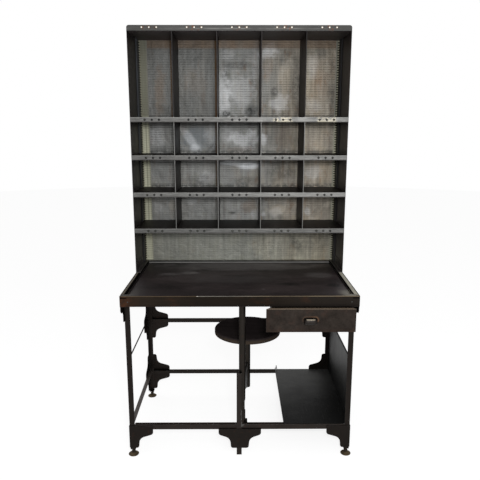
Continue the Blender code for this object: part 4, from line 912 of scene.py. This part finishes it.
def foot_steel(colours):
    """Feet: rusty turned steel, dull and pitted."""
    f = Finish("foot_steel")
    clouds = f.noise(0.012, detail=5.0)
    pits = f.noise(0.004, detail=6.0, rough=0.7, shift=1.0)
    f.base = f.lighten(colours.foot, 0.35 + clouds * 0.9)
    f.coat(pits.above(0.52, 0.70) * 0.6, scaled(colours.rust, 0.5))
    shank = f.z.above(0.0105, 0.0145)
    f.coat(shank * 0.75, scaled(colours.oiled, 1.3))
    normal = f.rounded(0.0012)
    return f.surface(0.52 + pits * 0.2, 0.8, f.bump(pits, 0.0005, normal), 0.5)


# Modelling helpers

def dress(name, finish):
    """Gives a CAD node its finish."""
    mesh = frame["nodes"][name].data
    mesh.materials.clear()
    mesh.materials.append(finish)


def to_mesh(name, bm, finish):
    """Turns a bmesh into an object of the scene."""
    mesh = bpy.data.meshes.new(name)
    bm.to_mesh(mesh)
    bm.free()
    mesh.materials.append(finish)
    piece = bpy.data.objects.new(name, mesh)
    bpy.context.scene.collection.objects.link(piece)
    return piece


def add_piece(name, bm, body, finish, smooth_angle=None, replaced=()):
    """Turns a bmesh into a piece that rides on a body."""
    bmesh.ops.recalc_face_normals(bm, faces=bm.faces[:])
    piece = to_mesh(name, bm, finish)
    if smooth_angle is not None:
        piece.data.shade_smooth()
        piece.data.set_sharp_from_angle(angle=math.radians(smooth_angle))
    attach(piece, body)
    if replaced:
        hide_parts(*replaced)
    return piece


def thicken(piece, sheet):
    """Gives a piece of a single skin its thickness, half to each side."""
    shell = piece.modifiers.new("Sheet", "SOLIDIFY")
    shell.thickness = sheet
    shell.offset = 0.0


def spin_profile(bm, profile, centre, steps, closed=False):
    """Turns a profile of (radius, height) points about a vertical axis into bm."""
    verts = [bm.verts.new((centre[0] + radius, centre[1], z)) for radius, z in profile]
    edges = [bm.edges.new(pair) for pair in zip(verts, verts[1:])]
    if closed:
        edges.append(bm.edges.new((verts[-1], verts[0])))
    bmesh.ops.spin(bm, geom=verts + edges, cent=(*centre, 0), axis=(0, 0, 1), dvec=(0, 0, 0),
                   angle=2 * math.pi, steps=steps, use_merge=True, use_duplicate=False)
    bmesh.ops.remove_doubles(bm, verts=bm.verts[:], dist=1e-6)


def bevelled(radius, bottom, top, width):
    """Points of a profile up a turned length of one radius, with a bevel at each end."""
    return [(radius - width, bottom), (radius, bottom + width), (radius, top - width), (radius - width, top)]


def arc(middle, across, upward, degrees):
    """Points of a profile on an arc about its middle, at angles from straight up."""
    angles = [math.radians(value) for value in degrees]
    return [(middle[0] + across * math.sin(angle), middle[1] + upward * math.cos(angle)) for angle in angles]


def extrude_outline(bm, points, offset):
    """A closed solid from a flat outline of points and the vector that it is drawn out by."""
    face = bm.faces.new([bm.verts.new(point) for point in points])
    drawn = bmesh.ops.extrude_face_region(bm, geom=[face], use_keep_orig=True)
    moved = [item for item in drawn["geom"] if isinstance(item, bmesh.types.BMVert)]
    bmesh.ops.translate(bm, vec=offset, verts=moved)


def add_block(bm, low, high):
    """A box between two corners."""
    corners = [(low.x, low.y, low.z), (high.x, low.y, low.z), (high.x, high.y, low.z), (low.x, high.y, low.z)]
    extrude_outline(bm, corners, (0, 0, high.z - low.z))


def round_edges(bm, edges, width):
    """Rounds edges off in two steps."""
    bmesh.ops.bevel(bm, geom=edges, offset=width, segments=2, profile=0.5, affect="EDGES", material=-1)


def fold_grid(bm, across, along, place):
    """A grid whose lines stand at the given distances. Place turns (across, along) into a
    point. Gives back the faces by their column and row."""
    columns, rows = len(across) - 1, len(along) - 1
    bmesh.ops.create_grid(bm, x_segments=columns, y_segments=rows, size=0.5)
    faces = {}
    for face in bm.faces:
        middle = face.calc_center_median()
        faces[int((middle.x + 0.5) * columns), int((middle.y + 0.5) * rows)] = face
    for vert in bm.verts:
        i = round((vert.co.x + 0.5) * columns)
        j = round((vert.co.y + 0.5) * rows)
        vert.co = place(across[i], along[j])
    return faces


def slotted_lines(low, high, pitch, width):
    """Distances from low to high with a pair of lines for each slot, centred."""
    count = int((high - low - width) // pitch)
    first = (low + high) / 2 - pitch * (count - 1) / 2
    lines = [low]
    for index in range(count):
        middle = first + pitch * index
        lines += [middle - width / 2, middle + width / 2]
    return lines + [high]


def shelf_gaps():
    """Lowest and highest z of each open stretch between the sheets of the hutch, top down.
    The third value is the height of the flange above, where the stretch ends at the front."""
    gaps = []
    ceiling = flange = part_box("hutch_top")[0].z
    for name in SHELVES:
        low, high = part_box(name)
        gaps.append((high.z, ceiling, flange))
        ceiling = high.z - HUTCH_SHEET
        flange = low.z
    gaps.append((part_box("desk_top")[1].z + HUTCH_SHEET + FIT, ceiling, flange))
    return gaps


# Operators

class PieceOperator:
    """What the desk's operators share."""
    bl_options = {"REGISTER", "UNDO"}

    def settings(self, context):
        return context.scene.postal_desk


class POSTALDESK_OT_frame(PieceOperator, bpy.types.Operator):
    """Finish the legs, rails, ties and gussets"""
    bl_idname = "postaldesk.frame"
    bl_label = "Frame"

    def execute(self, context):
        colours = self.settings(context).colours
        oiled, rubbed = colours.oiled, 0.42
        steel = oiled_steel(colours, "frame_steel", oiled, rubbed)
        plate = oiled_steel(colours, "gusset_steel", scaled(oiled, 0.92), rubbed, wear=0.45, sheen=0.46,
                            shift=5.0)
        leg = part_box("leg_middle")[0]
        # Painted light: a lighter copy of the frame steel for the middle leg and the front lower rail, with
        # scratches on the leg
        lit = oiled_steel(colours, "handled_frame_steel", scaled(oiled, 1.45), rubbed, shift=3.0,
                          scratched=(leg.x + 0.030, 0.215))
        # Painted light: a much lighter, less metallic copy of the frame steel for the left lower rail
        rail = oiled_steel(colours, "side_rail_steel", scaled(oiled, 3.2), rubbed, shift=11.0, metal=0.4)
        for name in FRAME_NODES:
            dress(name, plate if name.startswith("gusset") else steel)
        dress("leg_middle", lit)
        dress("lower_rail_front", lit)
        dress("lower_rail_left", rail)
        return {"FINISHED"}


class POSTALDESK_OT_work_top(PieceOperator, bpy.types.Operator):
    """Finish the work top and rivet its apron"""
    bl_idname = "postaldesk.work_top"
    bl_label = "Work top"

    def execute(self, context):
        settings = self.settings(context)
        dress("desk_top", tray_steel(settings.colours))
        self.rivets(settings.colours, settings.fitting)
        return {"FINISHED"}

    def rivets(self, colours, sizes):
        """A low domed rivet near each end of the apron."""
        low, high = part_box("desk_top")
        finish = oiled_steel(colours, "rivet_steel", scaled(colours.bare, 0.30), 1.0, shift=29.0,
                             metal=0.3, gloss=0.25)
        profile = [(0, 0), (sizes.rivet_radius, 0)]
        profile += arc((0, 0), sizes.rivet_radius, sizes.rivet_rise, range(72, -1, -18))
        facing = Matrix.Rotation(math.pi / 2, 4, "X")
        for side, x in (("left", low.x + sizes.rivet_inset), ("right", high.x - sizes.rivet_inset)):
            bm = bmesh.new()
            spin_profile(bm, profile, (0, 0), 24)
            place = Matrix.Translation((x, low.y - FIT, high.z - sizes.rivet_drop))
            bmesh.ops.transform(bm, matrix=place @ facing, verts=bm.verts[:])
            add_piece("apron_rivet_" + side, bm, "desk", finish, 40)


class POSTALDESK_OT_lower_bay(PieceOperator, bpy.types.Operator):
    """Finish the lower shelf and the side panel, and model the shelf's bolt"""
    bl_idname = "postaldesk.lower_bay"
    bl_label = "Lower bay"

    def execute(self, context):
        settings = self.settings(context)
        bare = settings.colours.bare
        low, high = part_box("lower_shelf")
        # Ends of the painted highlight on the lower shelf: brightest at the rear left, fading towards the front
        # right
        bright, dark = (low.x, high.y, high.z), (high.x - 0.05, low.y + 0.15, high.z)
        dress("lower_shelf", lower_bay_steel("lower_shelf_steel", scaled(bare, 0.250), bright, dark))
        self.bolt(settings.colours, settings.fitting, low, high)
        low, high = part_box("side_panel_right")
        # Ends of the painted highlight on the side panel: brightest near its top, fading downwards
        bright, dark = (high.x, low.y + 0.15, high.z), (high.x, low.y + 0.25, low.z)
        dress("side_panel_right", lower_bay_steel("side_panel_steel", scaled(bare, 0.268), bright, dark))
        return {"FINISHED"}

    def bolt(self, colours, sizes, low, high):
        """End of a bolt that stands up from the shelf's rear left corner."""
        radius, washer = sizes.bolt_radius, sizes.washer_radius
        foot = high.z + FIT
        seat, top = foot + sizes.washer_sheet, foot + sizes.bolt_reach
        from_left, from_rear = 0.008, 0.012
        bm = bmesh.new()
        spin_profile(bm, [(0, foot), (washer, foot), (washer, seat), (radius, seat + 0.0004),
                          (radius, top - BEVEL), (radius - BEVEL, top), (0, top)],
                     (low.x + from_left, high.y - from_rear), 16)
        finish = oiled_steel(colours, "bolt_steel", scaled(colours.bare, 0.5), 1.0, shift=27.0, metal=0.6)
        add_piece("shelf_bolt", bm, "desk", finish, 40)


class POSTALDESK_OT_hutch(PieceOperator, bpy.types.Operator):
    """Finish the hutch's sides, top, shelves and partitions"""
    bl_idname = "postaldesk.hutch"
    bl_label = "Hutch"

    def execute(self, context):
        colours = self.settings(context).colours
        # Painted light: each side gets its own copy of the dark sheet, the right one lighter than the left
        for side, tone in (("left", 0.95), ("right", 1.40)):
            name = "hutch_side_" + side
            dress(name, self.sheet(colours, name + "_steel", tone, wear=0.5, rusty=0.10, shift=7.0,
                                   gloss=0.22, front=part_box(name)[0].y))
        # Painted light: the partitions left and right of the middle get copies of slightly different tone
        halves = [self.sheet(colours, "partition_%s_steel" % side, tone, wear=0.9, rusty=0.08, shift=9.0,
                             gloss=0.12)
                  for side, tone in (("left", 0.62), ("right", 0.66))]
        for index, name in enumerate(PARTITIONS):
            dress(name, halves[index // 2])
        for index, name in enumerate(SHELVES):
            dress(name, shelf_steel(colours, index))
        dress("hutch_top", hutch_top_steel(colours))
        return {"FINISHED"}

    def sheet(self, colours, name, tone, **kind):
        """Dull dark sheet."""
        return oiled_steel(colours, name, scaled(colours.sheet, tone), 0.55, metal=0.0, **kind)


class POSTALDESK_OT_back_sheet(PieceOperator, bpy.types.Operator):
    """Model the pressed back sheet of the hutch"""
    bl_idname = "postaldesk.back_sheet"
    bl_label = "Back sheet"

    def execute(self, context):
        settings = self.settings(context)
        sizes = settings.back_sheet
        low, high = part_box("hutch_back")
        front = high.y - HUTCH_SHEET
        bm = bmesh.new()
        across = slotted_lines(low.x, high.x, sizes.column_pitch, sizes.slot_length)
        along = slotted_lines(low.z, high.z, sizes.row_pitch, sizes.slot_height)
        faces = fold_grid(bm, across, along, lambda x, z: Vector((x, front, z)))
        slots = [face for (column, row), face in faces.items() if column % 2 and row % 2]
        for face in bm.faces:
            face.normal_update()
        deeper = -sizes.press_depth if bm.faces[:][0].normal.y < 0 else sizes.press_depth
        bmesh.ops.inset_individual(bm, faces=slots, thickness=sizes.slot_slope, depth=deeper)
        rim = [edge for edge in bm.edges if edge.is_boundary]
        walls = bmesh.ops.extrude_edge_only(bm, edges=rim)["geom"]
        outer = [item for item in walls if isinstance(item, bmesh.types.BMVert)]
        bmesh.ops.translate(bm, vec=(0, high.y - front, 0), verts=outer)
        bmesh.ops.holes_fill(bm, edges=[edge for edge in bm.edges if edge.is_boundary], sides=0)
        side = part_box("hutch_side_left")[1].x
        add_block(bm, Vector((side + FIT, front - sizes.foot_width, low.z)),
                  Vector((-side - FIT, front - FIT, low.z + HUTCH_SHEET)))
        add_piece("pressed_back", bm, "desk", back_steel(settings.colours),
                  replaced=("hutch_back",))
        return {"FINISHED"}


class POSTALDESK_OT_racks(PieceOperator, bpy.types.Operator):
    """Model the notched racks in the rear corners of the hutch, and its feet"""
    bl_idname = "postaldesk.racks"
    bl_label = "Racks"

    def execute(self, context):
        settings = self.settings(context)
        sizes = settings.rack
        pitch = settings.back_sheet.row_pitch
        stand_off = FIT + sizes.sheet / 2
        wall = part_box("hutch_side_right")[1].x - HUTCH_SHEET - stand_off
        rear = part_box("hutch_back")[1].y - HUTCH_SHEET - stand_off
        for side, sign in SIDES:
            leg = getattr(sizes, side + "_leg")
            reach = getattr(sizes, side + "_reach")
            finish = rack_steel(settings.colours, side + "_rack_steel", leg + sizes.step, pitch)
            across = [-sizes.side_leg, sizes.step - sizes.side_leg, -sizes.side_reach, 0.0, reach, leg]

            def place(s, z):
                inward = 0.0 if s == across[0] else sizes.step
                return Vector((sign * (wall - inward - max(s, 0.0)), rear + min(s, 0.0), z))

            for index, (bottom, top, _) in enumerate(shelf_gaps()):
                bm = bmesh.new()
                along = slotted_lines(bottom + 2 * FIT, top - 2 * FIT, pitch, sizes.notch_height)
                faces = fold_grid(bm, across, along, place)
                notches = [face for (column, row), face in faces.items() if column in (2, 3) and row % 2]
                bmesh.ops.delete(bm, geom=notches, context="FACES")
                piece = add_piece("rack_%s_%d" % (side, index + 1), bm, "desk", finish)
                thicken(piece, sizes.sheet)
        self.feet(settings.colours, sizes, rear - sizes.side_leg - sizes.foot_gap)
        return {"FINISHED"}

    def feet(self, colours, sizes, rear):
        """Angles that fasten the hutch's sides to the rim of the work top."""
        finish = oiled_steel(colours, "hutch_foot_steel", scaled(colours.sheet, 1.1), 0.6, wear=1.0,
                             rusty=0.1, shift=23.0, metal=0.0, gloss=0.25)
        sheet = sizes.foot_sheet
        for side, sign in SIDES:
            low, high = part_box("hutch_side_" + side)
            wall = max(abs(low.x), abs(high.x)) - HUTCH_SHEET - FIT
            base = low.z + HUTCH_SHEET + FIT
            inner, top = wall - sizes.foot_width, base + sizes.foot_height
            outline = [(wall, base), (inner, base), (inner, base + sheet), (wall - sheet, base + sheet),
                       (wall - sheet, top), (wall, top)]
            front = low.y + sizes.foot_inset
            bm = bmesh.new()
            extrude_outline(bm, [(sign * x, front, z) for x, z in outline], (0, rear - front, 0))
            add_piece("hutch_foot_" + side, bm, "desk", finish)


class POSTALDESK_OT_partition_edges(PieceOperator, bpy.types.Operator):
    """Model the folded front edges of the partitions"""
    bl_idname = "postaldesk.partition_edges"
    bl_label = "Partition edges"

    def execute(self, context):
        settings = self.settings(context)
        sheet = settings.edge.sheet
        finish = hem_steel(settings.colours)
        for name in PARTITIONS:
            low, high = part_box(name)
            left, right = low.x - FIT, high.x + FIT
            inner = low.y - FIT
            face = inner - sheet
            rear = face + settings.edge.depth
            bm = bmesh.new()
            for bottom, _, top in shelf_gaps()[:-1]:
                z = bottom + FIT
                outline = [(left, rear, z), (left, inner, z), (right, inner, z), (right, rear, z),
                           (right + sheet, rear, z), (right + sheet, face, z),
                           (left - sheet, face, z), (left - sheet, rear, z)]
                extrude_outline(bm, outline, (0, 0, top - FIT - z))
            add_piece(name + "_hem", bm, "desk", finish)
        return {"FINISHED"}


class POSTALDESK_OT_drawer(PieceOperator, bpy.types.Operator):
    """Finish the drawer and its runners and model its cup pull"""
    bl_idname = "postaldesk.drawer"
    bl_label = "Drawer"

    def execute(self, context):
        settings = self.settings(context)
        colours = settings.colours
        dress("drawer_front", drawer_steel(colours))
        inside = oiled_steel(colours, "drawer_box_steel", scaled(colours.sheet, 1.5), 0.5, sheen=0.4,
                             shift=15.0)
        for name in ("drawer_box", "drawer_runner_left", "drawer_runner_right"):
            dress(name, inside)
        self.pull(pull_steel(colours), settings.fitting.pull_sheet)
        return {"FINISHED"}

    def pull(self, finish, sheet):
        """Half of a flattened ball that is open below, squared off by the power of each axis."""
        powers = (0.45, 0.62, 0.66)
        low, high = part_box("drawer_pull")
        middle = Vector(((low.x + high.x) / 2, high.y, low.z))
        half = Vector(((high.x - low.x - sheet) / 2, high.y - low.y - sheet, high.z - low.z - sheet / 2))
        bm = bmesh.new()
        bmesh.ops.create_uvsphere(bm, u_segments=48, v_segments=32, radius=1.0,
                                  matrix=Matrix.Rotation(math.pi / 2, 4, "Y"))
        for normal in ((0, 1, 0), (0, 0, -1)):
            bmesh.ops.bisect_plane(bm, geom=bm.verts[:] + bm.edges[:] + bm.faces[:], dist=1e-7,
                                   plane_co=(0, 0, 0), plane_no=normal, clear_outer=True)
        for vert in bm.verts:
            squared = [math.copysign(abs(part) ** power, part) for part, power in zip(vert.co, powers)]
            vert.co = middle + half * Vector(squared)
        thicken(add_piece("cup_pull", bm, "drawer", finish, 40, ("drawer_pull",)), sheet)


class POSTALDESK_OT_stool(PieceOperator, bpy.types.Operator):
    """Model the post, the swing arm and the seat"""
    bl_idname = "postaldesk.stool"
    bl_label = "Stool"

    def execute(self, context):
        settings = self.settings(context)
        colours, sizes = settings.colours, settings.stool
        pipe = oiled_steel(colours, "pipe_steel", colours.pipe, 0.45, sheen=0.36, shift=19.0)
        pivot = Vector(JOINTS["stool_swing"]["pos_m"]).to_2d()
        seat = Vector(JOINTS["seat_swivel"]["pos_m"]).to_2d()
        self.post(sizes, pivot, pipe)
        self.arm(sizes, pivot, seat, pipe)
        self.stem(sizes, seat, pipe)
        self.seat(sizes, seat, seat_steel(colours))
        return {"FINISHED"}

    def turned(self, name, node, body, profile, centre, finish, closed=False):
        """A turned piece that stands for a CAD node."""
        bm = bmesh.new()
        spin_profile(bm, profile, centre, 48, closed)
        add_piece(name, bm, body, finish, 40, (node,))

    def post(self, sizes, pivot, pipe):
        """Fixed pieces that the arm swings on: socket, spindle with its ring, and cap."""
        outer, bore, rod, chamfer = sizes.pipe_radius, sizes.bore_radius, sizes.rod_radius, sizes.chamfer
        low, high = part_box("pivot_socket")
        plate = low.z + sizes.plate
        countersink = 0.75 * chamfer
        bm = bmesh.new()
        spin_profile(bm, [(bore, plate + FIT), (outer, plate + FIT), (outer, high.z - chamfer),
                          (outer - chamfer, high.z), (bore + countersink, high.z),
                          (bore, high.z - countersink)], pivot, 48, closed=True)
        add_block(bm, low, Vector((high.x, high.y, plate)))
        add_piece("post_socket", bm, "desk", pipe, 40, ("pivot_socket",))

        low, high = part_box("pivot_spindle")
        ring, top = sizes.ring_radius, sizes.sleeve_bottom - FIT
        bottom = top - sizes.ring_height
        profile = [(0, low.z), (rod, low.z), (rod, bottom), *bevelled(ring, bottom, top, BEVEL),
                   (rod, top), (rod, high.z), (0, high.z)]
        self.turned("post_spindle", "pivot_spindle", "desk", profile, pivot, pipe)

        low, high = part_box("pivot_cap")
        flange, neck = high.x - pivot.x, high.z - sizes.plate
        crown = high.z - 0.010
        profile = [(0, high.z), (flange - BEVEL, high.z), (flange, high.z - BEVEL), (flange, neck),
                   (outer + sizes.fillet, neck), (outer, neck - sizes.fillet), (outer, low.z + chamfer),
                   (outer - chamfer, low.z), (bore, low.z), (bore, crown), (0, crown)]
        self.turned("post_cap", "pivot_cap", "desk", profile, pivot, pipe)

    def arm(self, sizes, pivot, seat, pipe):
        """Sleeve, web and column, welded together. They are laid along x and swung into place."""
        outer, bore, chamfer = sizes.pipe_radius, sizes.bore_radius, sizes.chamfer
        radius = (seat - pivot).length
        bottom, top = sizes.sleeve_bottom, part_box("stool_arm")[1].z
        bm = bmesh.new()
        sleeve = [(bore, bottom), *bevelled(outer, bottom, top, chamfer), (bore, top)]
        spin_profile(bm, sleeve, (0, 0), 48, closed=True)
        column = bmesh.new()
        bottom, top = sizes.column_bottom, sizes.column_top
        cup = top - sizes.column_bore
        profile = [(0, bottom), *bevelled(outer, bottom, top, chamfer), (bore, top), (bore, cup), (0, cup)]
        spin_profile(column, profile, (radius, 0), 48)
        self.join(bm, column)
        self.join(bm, self.web(sizes, radius))
        inset = 0.004
        for centre, outward, low, high in ((0, 1, sizes.sleeve_bottom, sizes.sleeve_web_top),
                                           (radius, -1, sizes.column_bottom, sizes.column_web_top)):
            for side in (-1, 1):
                across = side * (sizes.web_sheet / 2 + 0.3 * sizes.bead)
                reach = math.sqrt(outer ** 2 - across ** 2)
                place = (centre + outward * reach, across)
                self.join(bm, self.bead(sizes, place, low + inset, high - inset))
        swing = Matrix.Rotation(math.atan2(seat.y - pivot.y, seat.x - pivot.x), 4, "Z")
        bmesh.ops.transform(bm, matrix=Matrix.Translation((*pivot, 0)) @ swing, verts=bm.verts[:])
        add_piece("swing_arm", bm, "arm", pipe, 40, ("stool_arm",))

    def web(self, sizes, radius):
        """Plate between sleeve and column, hollowed above and below by arcs, its rim rounded."""
        inner = sizes.bore_radius + 0.0016
        outer = radius - inner
        steps = 16
        points = []
        for start, stop, hollow in (((inner, sizes.sleeve_bottom), (outer, sizes.column_bottom), 0.5),
                                    ((outer, sizes.column_web_top), (inner, sizes.sleeve_web_top), -0.5)):
            for step in range(steps + 1):
                t = step / steps
                x = start[0] + (stop[0] - start[0]) * t
                z = start[1] + (stop[1] - start[1]) * t + hollow * sizes.web_hollow * math.sin(math.pi * t)
                points.append((x, -sizes.web_sheet / 2, z))
        bm = bmesh.new()
        extrude_outline(bm, points, (0, sizes.web_sheet, 0))
        rim = [edge for edge in bm.edges if len({round(vert.co.y, 5) for vert in edge.verts}) == 1]
        round_edges(bm, rim, sizes.web_edge)
        return bm

    def bead(self, sizes, place, low, high):
        """A rippled weld bead that runs up a seam."""
        rings = int((high - low) / sizes.ripple * 3)
        profile = [(0.0, low)]
        for index in range(rings + 1):
            z = low + (high - low) * index / rings
            swell = 0.80 + 0.20 * math.sin(2 * math.pi * z / sizes.ripple)
            profile.append((sizes.bead * swell, z))
        profile.append((0.0, high))
        bm = bmesh.new()
        spin_profile(bm, profile, place, 8)
        return bm

    def join(self, bm, other):
        """Adds another bmesh to bm."""
        mesh = bpy.data.meshes.new("joined")
        other.to_mesh(mesh)
        other.free()
        bm.from_mesh(mesh)
        bpy.data.meshes.remove(mesh)

    def stem(self, sizes, seat, pipe):
        """Stem that turns in the column, with a collar over it and a flange under the seat."""
        low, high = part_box("stool_stem")
        outer, rod, collar = sizes.pipe_radius, sizes.rod_radius, sizes.collar_radius
        foot = sizes.column_top + FIT
        top = foot + sizes.ring_height
        flange, neck = high.x - seat.x, high.z - sizes.plate
        profile = [(0, low.z), (rod, low.z), (rod, foot), *bevelled(collar, foot, top, BEVEL), (outer, top),
                   (outer, neck - sizes.fillet), (outer + sizes.fillet, neck), (flange, neck),
                   (flange, high.z), (0, high.z)]
        self.turned("seat_stem", "stool_stem", "seat", profile, seat, pipe)

    def seat(self, sizes, seat, black):
        """Seat pressed from one sheet, slightly dished, with a rolled lip under its rounded edge."""
        low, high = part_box("stool_seat")
        radius, sheet, edge = high.x - seat.x, sizes.seat_sheet, sizes.seat_edge
        dish = high.z - sizes.seat_dish
        lip = ((0.0, 0.0040), (0.0008, 0.0008), (0.0022, 0.0), (0.0048, 0.0008), (0.0050, 0.0034),
               (sheet, 0.0050))
        middle = (radius - edge, high.z - edge)
        profile = [(0, dish), (0.6 * radius, dish), (0.86 * radius, high.z - 0.0002), (0.92 * radius, high.z)]
        profile += arc(middle, edge, edge, range(0, 91, 15))
        profile += [(radius - inward, low.z + rise) for inward, rise in lip]
        profile += arc(middle, edge - sheet, edge - sheet, range(90, -1, -30))
        profile.append((0, dish - sheet))
        bm = bmesh.new()
        spin_profile(bm, profile, seat, 96)
        add_piece("pressed_seat", bm, "seat", black, 40, ("stool_seat",))


class POSTALDESK_OT_feet(PieceOperator, bpy.types.Operator):
    """Model the levelling feet"""
    bl_idname = "postaldesk.feet"
    bl_label = "Feet"

    def execute(self, context):
        settings = self.settings(context)
        sizes = settings.foot
        finish = foot_steel(settings.colours)
        nut_middle = sizes.cone_height + sizes.nut_gap + sizes.nut_height / 2
        for node in [end + side for end in ("foot_front_", "foot_rear_") for side in ("left", "right")]:
            low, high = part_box(node)
            centre = ((low.x + high.x) / 2, (low.y + high.y) / 2)
            bm = bmesh.new()
            spin_profile(bm, self.profile(sizes, (high.x - low.x) / 2, high.z), centre, 48)
            nut = bmesh.ops.create_cone(bm, cap_ends=True, segments=6, radius1=sizes.nut_radius,
                                        radius2=sizes.nut_radius, depth=sizes.nut_height,
                                        matrix=Matrix.Translation((*centre, nut_middle)))
            edges = list({edge for vert in nut["verts"] for edge in vert.link_edges})
            round_edges(bm, edges, 0.6 * BEVEL)
            add_piece("levelling_" + node, bm, BODY_OF[node], finish, 35, (node,))
        return {"FINISHED"}

    def profile(self, sizes, radius, top):
        """Disc with a rounded edge, a cone and a threaded stud."""
        edge, cone, stud, pitch = sizes.disc_edge, sizes.cone_height, sizes.stud_radius, sizes.thread_pitch
        root = stud - sizes.thread_depth
        points = [(0, 0), *bevelled(radius, 0, edge, BEVEL), (0.80 * radius, 1.6 * edge),
                  (0.50 * radius, 0.8 * cone), (sizes.nut_radius, cone), (stud, cone + BEVEL)]
        for turn in range(int((top - cone - 2 * BEVEL) / pitch)):
            z = cone + 1.5 * BEVEL + turn * pitch
            points += [(root, z), (stud, z + pitch / 2)]
        return points + [(root, top), (0, top)]


class POSTALDESK_OT_stage(PieceOperator, bpy.types.Operator):
    """Set up the floor, the lamps and the camera"""
    bl_idname = "postaldesk.stage"
    bl_label = "Stage"

    def execute(self, context):
        sizes = self.settings(context).stage
        self.world(context, sizes)
        self.floor(sizes)
        self.lamps(sizes)
        lens = bpy.data.cameras.new("camera")
        lens.lens = sizes.lens
        lens.sensor_width = 36.0
        lens.clip_end = 100.0
        camera = self.hold("camera", lens, sizes.camera, (math.pi / 2 - sizes.pitch, 0.0, -sizes.turn))
        context.scene.camera = camera
        context.scene.view_settings.view_transform = "Standard"
        return {"FINISHED"}

    def hold(self, name, data, place, turn):
        """An object of the scene that holds a camera or lamp."""
        holder = bpy.data.objects.new(name, data)
        holder.location = place
        holder.rotation_euler = turn
        bpy.context.scene.collection.objects.link(holder)
        return holder

    def world(self, context, sizes):
        """Even light on the desk, and white behind it."""
        world = bpy.data.worlds.new("studio")
        nodes = Nodes(world)
        even = nodes.add("ShaderNodeBackground", {}, {"Color": WHITE, "Strength": sizes.ambient}).outputs[0]
        white = nodes.add("ShaderNodeBackground", {}, {"Color": WHITE}).outputs[0]
        mixed = nodes.both_shaders(nodes.seen(), even, white)
        nodes.add("ShaderNodeOutputWorld", {}, {"Surface": mixed})
        context.scene.world = world

    def floor(self, sizes):
        """A wide round floor that looks white and keeps the desk's shadow."""
        material = bpy.data.materials.new("pale_floor")
        nodes = Nodes(material)
        plain = nodes.add("ShaderNodeBsdfDiffuse", {}, {"Color": scaled(WHITE, 0.80)}).outputs[0]
        shaded = nodes.add("ShaderNodeBsdfDiffuse", {}, {"Color": WHITE}).outputs[0]
        glow = nodes.add("ShaderNodeEmission", {}, {"Strength": sizes.floor_glow}).outputs[0]
        pale = nodes.both_shaders(sizes.floor_shade, glow, shaded)
        mixed = nodes.both_shaders(nodes.seen(), plain, pale)
        nodes.add("ShaderNodeOutputMaterial", {}, {"Surface": mixed})
        bm = bmesh.new()
        bmesh.ops.create_circle(bm, cap_ends=True, segments=96, radius=sizes.floor_radius)
        floor = to_mesh("floor", bm, material)

    def lamps(self, sizes):
        """A large soft lamp above and a smaller one beside the camera that reaches into the hutch."""
        target = Vector((0.0, 0.0, 1.2))
        for name, place, size, power in (("key", (0.9, -4.3, 3.3), 3.0, sizes.key_power),
                                         ("front", (0.14, -2.9, 1.95), 0.30, sizes.front_power)):
            lamp = bpy.data.lights.new(name, "AREA")
            lamp.shape = "SQUARE"
            lamp.size = size
            lamp.energy = power
            self.hold(name, lamp, place, (target - Vector(place)).to_track_quat("-Z", "Y").to_euler())


STEPS = (POSTALDESK_OT_stage, POSTALDESK_OT_frame, POSTALDESK_OT_work_top, POSTALDESK_OT_lower_bay,
         POSTALDESK_OT_hutch, POSTALDESK_OT_back_sheet, POSTALDESK_OT_racks, POSTALDESK_OT_partition_edges,
         POSTALDESK_OT_drawer, POSTALDESK_OT_stool, POSTALDESK_OT_feet)


class POSTALDESK_PT_panel(bpy.types.Panel):
    """Lists the desk's steps"""
    bl_idname = "POSTALDESK_PT_panel"
    bl_label = "Postal desk"
    bl_space_type = "VIEW_3D"
    bl_region_type = "UI"
    bl_category = "Postal desk"

    def draw(self, context):
        for step in STEPS:
            self.layout.operator(step.bl_idname)


GROUPS = (BackSheetSizes, RackSizes, EdgeSizes, StoolSizes, FootSizes, FittingSizes, Colours, StageSizes,
          PostalDesk)


def register():
    for item in GROUPS + STEPS + (POSTALDESK_PT_panel,):
        bpy.utils.register_class(item)
    bpy.types.Scene.postal_desk = bpy.props.PointerProperty(type=PostalDesk)


def unregister():
    del bpy.types.Scene.postal_desk
    for item in reversed(GROUPS + STEPS + (POSTALDESK_PT_panel,)):
        bpy.utils.unregister_class(item)


def main():
    register()
    for step in STEPS:
        category, name = step.bl_idname.split(".")
        getattr(getattr(bpy.ops, category), name)()


if __name__ == "__main__":
    main()
